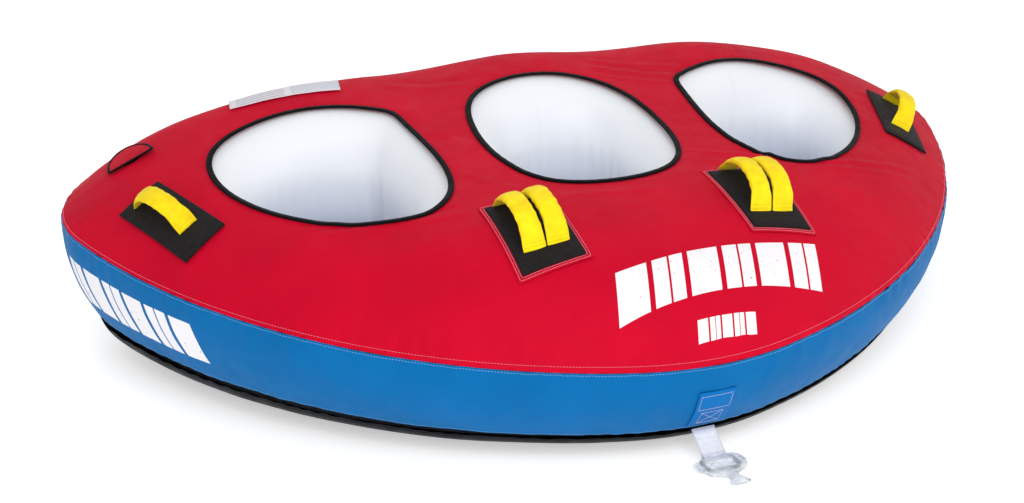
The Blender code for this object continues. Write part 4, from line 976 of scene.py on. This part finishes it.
def laid_line(x, y, turn, half_w, half_l, lift, corner=0.006):
    """Rounded rectangle of points over the top cover, for stitching."""
    pts = []
    reach_x, reach_y = half_w - corner, half_l - corner
    for cx, cy, start in ((reach_x, reach_y, 0), (-reach_x, reach_y, 90), (-reach_x, -reach_y, 180),
                          (reach_x, -reach_y, 270)):
        pts += [(cx + corner * math.cos(math.radians(start + a)), cy + corner * math.sin(math.radians(
            start + a))) for a in (0, 30, 60, 90)]
    pts = even(np.array(pts), 160)
    px = x + pts[:, 0] * math.cos(turn) + pts[:, 1] * math.sin(turn)
    py = y - pts[:, 0] * math.sin(turn) + pts[:, 1] * math.cos(turn)
    spots, ups = [], []
    for a, b in zip(px, py):
        point, normal = surface_frame(a, b)
        spots.append(point + normal * lift)
        ups.append(normal)
    return np.array(spots), np.array(ups)


def make_pad(name, x, y, turn, width, length):
    """Foam pad sewn to the cover: crowned between its rims, with a pressed line inside the rim."""
    us, vs = graded(width / 2, 22), graded(length / 2, 34)
    u, v = np.meshgrid(us, vs)
    crown = smooth((width / 2 - abs(u)) / 0.012) * smooth((length / 2 - abs(v)) / 0.012)
    dent = np.exp(-((np.minimum(width / 2 - abs(u), length / 2 - abs(v)) - 0.006) / 0.0022) ** 2)
    lumps = 0.0004 * field(u * 60 + x * 7, v * 60, 81)
    grid, normal = laid_grid(x, y, turn, us, vs, np.full_like(u, PAD_LIFT - 0.002))
    thick = 0.0042 + 0.0014 * crown - 0.0013 * dent + lumps * crown
    verts, faces = slab(grid, normal * thick[..., None], 1.0)
    top = len(verts) // 2
    rim = (np.minimum(width / 2 - abs(u), length / 2 - abs(v)) < 1e-6).ravel()
    verts[top:][rim] -= normal.reshape(-1, 3)[rim] * 0.0012
    made = make(name.replace("pad", "foam_pad"), verts, faces, NEOPRENE, instead=[name],
                slot="black_neoprene")
    line, up = laid_line(x, y, turn, width / 2 - 0.006, length / 2 - 0.006, PAD_LIFT + 0.0021)
    make(name + "_thread", *stitches(line, up, 0.0056, 0.0036, 0.0005), DARK_THREAD, slot="black_neoprene")


def make_patch(name, x, y, turn, width, length):
    """Red reinforcing patch under a pad, with a pale stitched border."""
    us, vs = graded(width / 2, 20), graded(length / 2, 30)
    u, v = np.meshgrid(us, vs)
    lift = 0.0020 + 0.0005 * field(u * 45, v * 45, 83)
    grid, normal = laid_grid(x, y, turn, us, vs, lift)
    verts, faces = slab(grid, normal, 0.0014, 0.0005)
    make(name + "_cloth", verts, faces, PATCH_RED, instead=[name], slot="red_nylon")
    parts = []
    for inset in (0.0035, 0.0085):
        line, up = laid_line(x, y, turn, width / 2 - inset, length / 2 - inset, 0.0038, 0.004)
        parts.append(stitches(line, up, 0.0052, 0.0040, 0.0008))
    make(name + "_thread", *join(parts), PINK_THREAD, slot="red_nylon")


def arch(share):
    return HANDLE_RISE * (1 - np.abs(2 * share - 1) ** 2.6)


def handle_line(share, offset):
    """Middle line of a handle in its pad's frame, with the angle of its slope."""
    y = HANDLE_SPAN * (share - 0.5) + HANDLE_SHIFT
    z = PAD_LIFT + PAD_T + PIVOT_LIFT + arch(share)
    slope = np.arctan2(arch(np.minimum(share + 0.01, 1)) - arch(np.maximum(share - 0.01, 0)),
                       HANDLE_SPAN * (np.minimum(share + 0.01, 1) - np.maximum(share - 0.01, 0)))
    return np.full_like(share, offset), y, z, slope


def handle_body(offset, shares, width, height, sides, crumple=0.0, seed=0):
    """Loops of oval sections along a handle, crumpled like gathered cloth."""
    xs, ys, zs, slopes = handle_line(shares, offset)
    turn = (np.arange(sides) + 0.5) * 2 * math.pi / sides
    cos, sin = np.cos(turn), np.sin(turn)
    across = np.sign(cos) * np.abs(cos) ** 0.8
    over = np.sign(sin) * np.abs(sin) ** 0.8
    loops = []
    for k, share in enumerate(shares):
        along = share * HANDLE_SPAN
        round_u = 4.2 * cos + 40
        lump = field(round_u + 3 * sin, along * 95 + seed, 91 + seed)
        fine = field(turn * 2.6 + along * 25, along * 210 + seed, 97 + seed)
        size = 1 + crumple * (0.65 * lump + 0.35 * fine)
        a, b = width[k] / 2 * across * size, height[k] / 2 * over * size
        loops.append(np.c_[xs[k] + a, ys[k] - b * np.sin(slopes[k]), zs[k] + b * np.cos(slopes[k])])
    return loops


def make_handle(name, place, offset, seed):
    """Loose sleeve over webbing, sewn flat and square at both ends where it meets the pad."""

    def pinned(made):
        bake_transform(made)

    shares = np.linspace(-0.035, 1.035, 84)
    end = np.minimum(shares, 1 - shares)
    puff = smooth((end - 0.03) / 0.16)
    gather = 1 + 0.018 * np.sin(shares * 46 + seed) * puff
    width = (0.0485 - 0.0050 * puff) * gather
    height = (0.0044 + 0.0126 * puff) * gather
    loops = handle_body(offset, shares, width, height, 40, 0.05, seed)
    for loop, near_end in zip(loops, end):
        drop = (PIVOT_LIFT - 0.0035) * float(smooth((0.09 - near_end) / 0.10))
        loop[:, 2] -= drop
    verts, faces = loft(loops, caps=True)
    made = make(f"{name}_loose_sleeve", placed(place, verts), faces, YELLOW, body=None,
                instead=[f"{name}_sleeve"], slot="yellow_nylon")
    pinned(made)
    turned = np.array(place.to_3x3())
    parts = []
    for share in (-0.012, 0.022, 0.978, 1.012):
        xs, ys, zs, slopes = handle_line(np.full(9, share), offset)
        u = np.linspace(-0.020, 0.020, 9)
        near_end = min(share, 1 - share)
        drop = (PIVOT_LIFT - 0.0035) * float(smooth((0.09 - near_end) / 0.10))
        line = np.c_[xs + u, ys - 0.0024 * np.sin(slopes), zs + 0.0024 * np.cos(slopes) - drop]
        up = np.c_[np.zeros(9), -np.sin(slopes), np.cos(slopes)]
        parts.append(stitches(placed(place, line), up @ turned.T, 0.0040, 0.0030, 0.0005, closed=False))
    pinned(make(f"{name}_sleeve_thread", *join(parts), YELLOW_THREAD, body=None, slot="yellow_nylon"))
    shares = np.linspace(-0.055, 1.055, 64)
    loops = handle_body(offset, shares, np.full(64, 0.0255), np.full(64, 0.0026), 12)
    for loop, near_end in zip(loops, np.minimum(shares, 1 - shares)):
        loop[:, 2] -= (PIVOT_LIFT - 0.0022) * float(smooth((0.09 - near_end) / 0.10))
    verts, faces = loft(loops, caps=True)
    pinned(make(f"{name}_web", placed(place, verts), faces, YELLOW_WEB, body=None,
                instead=[f"{name}_webbing"], slot="yellow_nylon"))


def make_handles():
    seed = 0
    for side, sign in (("left", -1), ("right", 1)):
        x, y, width, length = DECK_PAD
        make_patch(f"deck_patch_{side}", sign * x, y, 0.0, width + 0.022, length + 0.022)
        make_pad(f"deck_pad_{side}", sign * x, y, 0.0, width, length)
        place = pad_frame(sign * x, y, 0.0)
        for which, shift in (("outer", sign), ("inner", -sign)):
            seed += 1
            make_handle(f"deck_handle_{side}_{which}", place, shift * HANDLE_SPREAD / 2, seed)
        x, y, width, length = END_PAD
        turn = sign * END_PAD_TURN
        make_pad(f"end_pad_{side}", sign * x, y, turn, width, length)
        seed += 1
        make_handle(f"end_handle_{side}", pad_frame(sign * x, y, turn), 0.0, seed)


# --- cockpits -------------------------------------------------------------------------------------

def bladder_top(x, y):
    place = valve_place()
    normal = place.col[2].to_3d()
    seat = place.translation - normal * 0.016
    plane = seat.z - (normal.x * (x - seat.x) + normal.y * (y - seat.y)) / normal.z
    away = np.hypot(x - seat.x, y - seat.y)
    return plane + (top_z(x, y) - BLADDER_GAP - plane) * smooth((away - 0.048) / 0.04)


def make_bladder():
    """The vinyl bladder with its three wells; the walls swell in, with small gathers at the weld."""
    gap = BLADDER_GAP
    steps = 240
    parts, lips, feet = [], [], []
    for seat in SEATS.values():
        lip = well_loop(seat, -WELL_LIP, steps)
        lip_z = top_z(lip[:, 0], lip[:, 1]) - gap
        run = np.arange(steps) / steps
        loops = []
        for k in range(27):
            t = k / 26
            angle = math.pi / 2 * t
            inset = -WELL_LIP + (WELL_LIP + WELL_BULGE) * math.sin(angle)
            depth = WELL_DEPTH * (1 - math.cos(angle))
            swell = 0.0022 * field(run * 14, 0 * run + t * 3, 101 + seat)
            weld_line = 0.0030 * pucker(run * 1.3, 105 + seat, 24.0) * math.exp(-((t - 0.98) / 0.13) ** 2)
            points = well_loop(seat, inset, steps)
            middle = points.mean(0)
            way = (points - middle) / np.hypot(*(points - middle).T)[:, None]
            points = points + way * ((swell + weld_line) * smooth(t / 0.3))[:, None]
            loops.append(np.c_[points, lip_z - depth])
        low = well_loop(seat, WELL_BULGE - 0.010, steps)
        loops.append(np.c_[low, np.full(steps, 0.12)])
        under = well_loop(seat, WELL_BULGE - 0.035, steps)
        loops.append(np.c_[under, bottom_z(under[:, 0], under[:, 1]) + KEEL_GAP])
        parts.append(loft(loops))
        lips.append(lip)
        feet.append(under)
    rings = []
    for inset in (0.070, 0.045):
        points = plan(gap + inset)
        rings.append(np.c_[points, bladder_top(points[:, 0], points[:, 1])])
    shoulder = band_point(0.0, gap + 0.008) - (0, 0, 0.004)
    foot = band_point(1.0, gap + 0.006) + (0, 0, 0.012)
    rings += [shoulder, band_point(0.34, gap), band_point(0.66, gap), foot]
    for inset in (0.040, 0.080, 0.130):
        points = plan(LOWER_INSET + gap + inset)
        rings.append(np.c_[points, bottom_z(points[:, 0], points[:, 1]) + KEEL_GAP])
    rings = [ring[::4] for ring in rings]
    parts.append(loft(rings))
    flat, faces = plan_fill(rings[0][:, :2], lips, 0.03)
    parts.append((np.c_[flat, bladder_top(flat[:, 0], flat[:, 1])], faces.tolist()))
    flat, faces = plan_fill(rings[-1][:, :2], feet, 0.04)
    parts.append((np.c_[flat, bottom_z(flat[:, 0], flat[:, 1]) + KEEL_GAP], faces[:, ::-1].tolist()))
    verts, faces, _ = weld(*join(parts))
    made = make("bladder_vinyl", verts, faces, VINYL, instead=["main_bladder"], slot="white_pvc")


def make_floor(name, seat):
    """Seat cushion of a cockpit: closed form with pulled-in foot, blown up by the cloth simulation."""
    steps = 96
    side = WELL_BULGE + 0.0035
    rows = ((side + 0.050, KEEL_GAP + 0.002), (side + 0.010, KEEL_GAP + 0.012), (side, 0.06), (side, 0.15),
            (side + 0.002, FLOOR_Z - 0.052), (side + 0.008, FLOOR_Z - 0.036), (side + 0.024, FLOOR_Z - 0.020),
            (side + 0.050, FLOOR_Z - 0.012), (side + 0.085, FLOOR_Z - 0.008), (side + 0.11, FLOOR_Z - 0.006))
    loops = [np.c_[well_loop(seat, inset, steps), np.full(steps, z)] for inset, z in rows]
    verts, faces = loft(loops, caps=True)
    made = make(f"{name}_raw", verts, faces, VINYL, body=None)
    blow_up(made, 0.010)
    made.name = f"seat_cushion_{name}"
    made.data.name = made.name
    made.data.shade_smooth()
    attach(made, "tube")
    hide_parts(f"seat_floor_{name}")


def blow_up(piece, cap):
    """Remesh, inflate with a short cloth run, and keep each point within cap of where it began."""
    view = bpy.context.view_layer
    bpy.ops.object.select_all(action="DESELECT")
    view.objects.active = piece
    piece.select_set(True)
    remesh = piece.modifiers.new("even", "REMESH")
    remesh.mode = "VOXEL"
    remesh.voxel_size = 0.009
    bpy.ops.object.modifier_apply(modifier=remesh.name)
    count = len(piece.data.vertices)
    start = np.zeros(count * 3)
    piece.data.vertices.foreach_get("co", start)
    start = start.reshape(-1, 3)
    cloth = piece.modifiers.new("air", "CLOTH")
    cloth.settings.use_pressure = True
    cloth.settings.uniform_pressure_force = 4.0
    cloth.settings.quality = 4
    cloth.settings.tension_stiffness = 30
    cloth.settings.compression_stiffness = 30
    cloth.settings.effector_weights.gravity = 0.0
    cloth.point_cache.frame_start, cloth.point_cache.frame_end = 1, 14
    for step in range(1, 15):
        bpy.context.scene.frame_set(step)
    shaped = piece.evaluated_get(bpy.context.evaluated_depsgraph_get()).to_mesh()
    blown = np.zeros(count * 3)
    shaped.vertices.foreach_get("co", blown)
    move = blown.reshape(-1, 3) - start
    size = np.linalg.norm(move, axis=1)[:, None]
    move *= np.minimum(1.0, cap / np.maximum(size, 1e-9))
    hold = smooth((start[:, 2] - 0.20) / 0.06)[:, None]
    move[:, :2] *= 0.12
    piece.modifiers.remove(cloth)
    piece.data.vertices.foreach_set("co", (start + move * hold).ravel())
    bpy.context.scene.frame_set(1)
    finer = piece.modifiers.new("finer", "SUBSURF")
    finer.levels = finer.render_levels = 1
    bpy.ops.object.modifier_apply(modifier=finer.name)
    piece.select_set(False)


# --- label, tow point and zipper ------------------------------------------------------------------

def make_label():
    x, y, turn = -0.555, 0.362, math.radians(11)
    us, vs = graded(0.125, 30), graded(0.0275, 12)
    u, v = np.meshgrid(us, vs)
    lift = 0.0036 + 0.0005 * field(u * 40, v * 40, 111)
    grid, normal = laid_grid(x, y, turn, us, vs, lift)
    verts, faces = slab(grid, normal, 0.0009)
    uv = np.c_[(u.ravel() / 0.25 + 0.5), (v.ravel() / 0.055 + 0.5)]
    make("label_satin_patch", verts, faces, LABEL, instead=["label_patch"], slot="label_fabric",
         uv=np.vstack([uv, uv]))
    line, up = laid_line(x, y, turn, 0.1225, 0.025, 0.0052, 0.002)
    make("label_thread", *stitches(line, up, 0.0046, 0.0032, 0.0005), PALE_THREAD, slot="label_fabric")


def nose_point(x, down):
    bulge = BAND_BULGE * 4 * down * (1 - down)
    radius = NOSE_R - LOWER_INSET * down + bulge
    y = NOSE_Y + NOSE_R - np.sqrt(radius ** 2 - x ** 2)
    upper = UPPER_SEAM_Z + UPPER_SEAM_RISE * y
    return y, upper + (LOWER_SEAM_Z + LOWER_SEAM_RISE * y - upper) * down


def nose_line(corners, lift, count=60):
    """Closed path on the nose through (x, down) corners."""
    corners = np.array(corners)
    path = []
    for p, q in zip(corners, np.roll(corners, -1, 0)):
        path += [p + (q - p) * k / count for k in range(count)]
    path = np.array(path)
    y, z = nose_point(path[:, 0], path[:, 1])
    return np.c_[path[:, 0], y - lift, z], np.tile((0.0, -1.0, 0.15), (len(path), 1))


def make_tow_patch():
    xs, downs = np.linspace(-0.040, 0.040, 22), np.linspace(0.34, 0.92, 26)
    x, down = np.meshgrid(xs, downs)
    y, z = nose_point(x, down)
    grid = np.stack([x, y - 0.0006 - 0.0005 * field(x * 60, down * 9, 121), z], -1)
    normal = np.broadcast_to(np.array((0.0, -1.0, 0.0)), grid.shape)
    verts, faces = slab(grid, normal, 0.0018, 0.0006)
    make("tow_patch_cloth", verts, faces, PATCH_BLUE, instead=["tow_patch"], slot="blue_nylon")
    lift = 0.0030
    parts = []
    for corners in (((-0.034, 0.40), (0.034, 0.40), (0.034, 0.62), (-0.034, 0.62)),
                    ((-0.024, 0.68), (0.024, 0.68), (0.024, 0.88), (-0.024, 0.88)),
                    ((-0.024, 0.68), (0.024, 0.88)), ((0.024, 0.68), (-0.024, 0.88))):
        line, up = nose_line(corners, lift)
        parts.append(stitches(line, up, 0.0050, 0.0036, 0.0006))
    make("tow_patch_thread", *join(parts), PALE_THREAD, slot="blue_nylon")


TOW_DROOP = math.radians(-38)
TOW_ROOT = Vector((0.0, NOSE_Y + LOWER_INSET - 0.004,
                   LOWER_SEAM_Z + LOWER_SEAM_RISE * (NOSE_Y + LOWER_INSET) - 0.001))


def tow_place():
    ahead = Vector((0.0, -math.cos(TOW_DROOP), math.sin(TOW_DROOP)))
    side = Vector((1.0, 0.0, 0.0))
    return frame_matrix(TOW_ROOT, side, ahead, side.cross(ahead))


def make_tow():
    place = tow_place()
    eye, r, t = 0.0685, 0.0072, 0.0021
    path = [(0.0005, 0.0011), (0.015, 0.0012), (0.03, 0.0013), (0.045, 0.0016), (0.055, 0.0030)]
    start = math.radians(148)
    path += [(eye + r * math.cos(start - a), r * math.sin(start - a)) for a in np.linspace(
        0, math.radians(296), 22)]
    path += [(0.055, -0.0030), (0.045, -0.0016), (0.03, -0.0013), (0.015, -0.0012), (0.0005, -0.0011)]
    path = np.array(path)
    way = np.gradient(path, axis=0)
    way /= np.linalg.norm(way, axis=1)[:, None]
    out = np.c_[-way[:, 1], way[:, 0]]
    us = np.linspace(-0.025, 0.025, 11)
    loops = []
    for p, n in zip(path, out):
        wave = 0.0003 * field(us * 120, np.full(11, p[0] * 90), 131)
        upper = np.c_[us, np.full(11, p[0]) + n[0] * (t / 2), p[1] + n[1] * (t / 2) + wave]
        lower = np.c_[us, np.full(11, p[0]) - n[0] * (t / 2), p[1] - n[1] * (t / 2) + wave]
        loops.append(np.vstack([upper, lower[::-1]]))
    verts, faces = loft(loops, caps=True)
    make("tow_strap_web", placed(place, verts), faces, WHITE_WEB, body="tow_strap", instead=["tow_strap"],
         slot="white_webbing")
    turned = np.array(place.to_3x3())
    bars = []
    for u, v in ((-0.013, 0.024), (0.001, 0.030), (0.012, 0.021)):
        line = np.array([(u + 0.006 * math.sin(k), v + 0.0011 * k - 0.004, 0.0029) for k in range(9)])
        up = np.tile(np.array((0, 0, 1.0)) @ turned.T, (9, 1))
        bars.append(stitches(placed(place, line), up, 0.0022, 0.0030, 0.0007, closed=False))
    make("tow_strap_bartacks", *join(bars), DARK_THREAD, body="tow_strap", slot="white_webbing")
    side, ahead = Vector((1, 0, 0)), Vector((0, -1, 0))
    ring_place = frame_matrix(place @ Vector((0, eye, 0)), side, ahead, side.cross(ahead))
    make_ring(ring_place)


def make_ring(place):
    half, length, corner = 0.035, 0.046, 0.014
    path = []
    for cx, cy, start in ((half - corner, corner, -90), (half - corner, length - corner, 0),
                          (-half + corner, length - corner, 90), (-half + corner, corner, 180)):
        path += [(cx + corner * math.cos(math.radians(start + a)), cy + corner * math.sin(math.radians(
            start + a)), 0.0) for a in range(0, 91, 10)]
    path = even(np.array(path), 96)
    verts, faces = tube(path, 0.0040, 14, closed=True)
    make("tow_ring_moulding", placed(place, verts), faces, BLACK_PLASTIC, body="tow_ring",
         instead=["tow_ring"], slot="black_plastic")
    loops = []
    sizes = ((0.009, 0.0480, 0.0135), (0.016, 0.0495, 0.0150), (0.030, 0.0490, 0.0155),
             (0.042, 0.0460, 0.0150), (0.052, 0.0370, 0.0135), (0.061, 0.0230, 0.0115),
             (0.069, 0.0110, 0.0085), (0.074, 0.0085, 0.0075), (0.082, 0.0130, 0.0080),
             (0.092, 0.0190, 0.0070), (0.101, 0.0210, 0.0050))
    table = np.array(sizes)
    ys = np.linspace(0.009, 0.101, 46)
    turn = np.arange(56) * 2 * math.pi / 56
    for y in ys:
        w, h = np.interp(y, table[:, 0], table[:, 1]), np.interp(y, table[:, 0], table[:, 2])
        crease = 1 + 0.13 * field(turn * 2.2 + 20, np.full(56, y * 70), 141) + 0.09 * field(
            turn * 6 + 9, np.full(56, y * 190), 143)
        loops.append(np.c_[w * np.cos(turn) * crease, y + 0.0035 * field(turn * 3, np.full(56, y * 60), 145),
                           h * np.sin(turn) * np.minimum(crease, 1.06)])
    verts, faces = loft(loops)
    faces.append(list(range(45 * 56, 46 * 56)))
    made = make("tow_film_wrap", placed(place, verts), faces, FILM, body="tow_ring",
                instead=["tow_ring_film"], slot="clear_film")


def zip_place():
    def point(down):
        bulge = BAND_BULGE * 4 * down * (1 - down)
        upper = UPPER_SEAM_Z + UPPER_SEAM_RISE * REAR_Y
        lower = LOWER_SEAM_Z + LOWER_SEAM_RISE * (REAR_Y - LOWER_INSET)
        return Vector((0.0, REAR_Y - LOWER_INSET * down + bulge, upper + (lower - upper) * down))
    low, high = point(ZIP_HIGH), point(ZIP_LOW)
    up = (high - low).normalized()
    across = Vector((-1.0, 0.0, 0.0))
    return frame_matrix((low + high) / 2, across, up, across.cross(up))


def make_zip():
    """Moulded teeth of the chain, and the stitching beside it."""
    place = zip_place()
    base = -0.0016 + 0.0015 + 0.0005
    tooth = np.array([(-0.0008, -0.0026), (0.0008, -0.0026), (0.0011, 0.0003), (0.0006, 0.0012),
                      (-0.0006, 0.0012), (-0.0011, 0.0003)])
    parts = []
    for k in range(280):
        x = -0.296 + k * 0.592 / 279
        flip = 1 if k % 2 else -1
        outline_2d = tooth * (1, flip)
        if flip < 0:
            outline_2d = outline_2d[::-1]
        parts.append(loft([np.c_[outline_2d[:, 0] + x, outline_2d[:, 1], np.full(6, z)] for z in (
            base, base + 0.0018, base + 0.0023)], caps=True))
    verts, faces = join(parts)
    make("zipper_teeth", placed(place, verts), faces, BLACK_PLASTIC, instead=["zipper_chain"],
         slot="black_plastic")
    seams = []
    for y in (-0.0175, 0.0175):
        xs = np.linspace(-0.305, 0.305, 90)
        line = np.c_[xs, np.full(90, y), np.full(90, 0.0006)]
        up = np.tile(np.array(place.col[2][:3]), (90, 1))
        seams.append(stitches(placed(place, line), up, 0.0050, 0.0036, 0.0005, closed=False))
    make("zipper_thread", *join(seams), SKY_THREAD, slot="blue_nylon")


def dress_nodes():
    """Materials for the CAD nodes that stay as they are."""
    looks = {"valve_base": VALVE_PLASTIC, "valve_insert": VALVE_PLASTIC, "valve_diaphragm": RUBBER,
             "valve_tether": RUBBER, "valve_cap": BLACK_PLASTIC, "zipper_tape_upper": DARK_WEB,
             "zipper_tape_lower": DARK_WEB, "zipper_slider": BLACK_PLASTIC, "zipper_pull": BLACK_PLASTIC,
             "drain_grommet_left": STEEL, "drain_grommet_right": STEEL, "tow_harness_left": DARK_WEB,
             "tow_harness_right": DARK_WEB}
    for name, look in looks.items():
        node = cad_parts[name]
        node.data.materials.clear()
        node.data.materials.append(look)


# --- stage ----------------------------------------------------------------------------------------

def make_stage():
    floor_look = Look("pale_floor", (0.93, 0.93, 0.93), 0.9)
    floor_look.shade(0.6, 0.01)
    floor_look.shader.inputs["Emission Color"].default_value = (1.0, 1.0, 1.0, 1.0)
    floor_look.shader.inputs["Emission Strength"].default_value = 0.45
    size = 40.0
    floor = make("floor", [(-size, -size, -0.0005), (size, -size, -0.0005), (size, size, -0.0005),
                           (-size, size, -0.0005)], [(0, 1, 2, 3)], floor_look.made, body=None)
    world = bpy.data.worlds.new("studio")
    world.use_nodes = True
    world.node_tree.nodes["Background"].inputs[0].default_value = (1.0, 1.0, 1.0, 1.0)
    world.node_tree.nodes["Background"].inputs[1].default_value = 0.62
    bpy.context.scene.world = world
    for name, spot, aim, size, power in (("key", (-1.0, -3.4, 3.0), (0, 0, 0.3), 3.2, 95.0),
                                         ("fill", (3.2, -2.6, 2.6), (0, 0, 0.3), 3.0, 20.0),
                                         ("back", (0.8, 3.4, 3.2), (0, 0, 0.3), 2.6, 20.0)):
        data = bpy.data.lights.new(name, "AREA")
        data.energy, data.size = power, size
        lamp = bpy.data.objects.new(name, data)
        bpy.context.scene.collection.objects.link(lamp)
        lamp.location = spot
        lamp.rotation_euler = (Vector(aim) - Vector(spot)).to_track_quat("-Z", "Y").to_euler()
    view = bpy.context.scene.view_settings
    view.view_transform = "Standard"
    view.look = "None"


def make_camera():
    data = bpy.data.cameras.new("camera")
    data.lens, data.sensor_width, data.clip_end = 58.65, 36.0, 200.0
    camera = bpy.data.objects.new("camera", data)
    bpy.context.scene.collection.objects.link(camera)
    yaw, pitch = 0.3924, 0.3868
    ahead = Vector((math.sin(yaw) * math.cos(pitch), math.cos(yaw) * math.cos(pitch), -math.sin(pitch)))
    camera.location = (-1.4746, -3.2161, 1.634)
    camera.rotation_euler = ahead.to_track_quat("-Z", "Y").to_euler()
    bpy.context.scene.camera = camera


make_camera()
make_stage()
make_top()
make_band()
make_bottom()
make_seams()
make_bindings()
make_flap()
make_handles()
make_bladder()
for seat_name, seat_side in SEATS.items():
    make_floor(seat_name, seat_side)
make_label()
make_tow_patch()
make_tow()
make_zip()
dress_nodes()
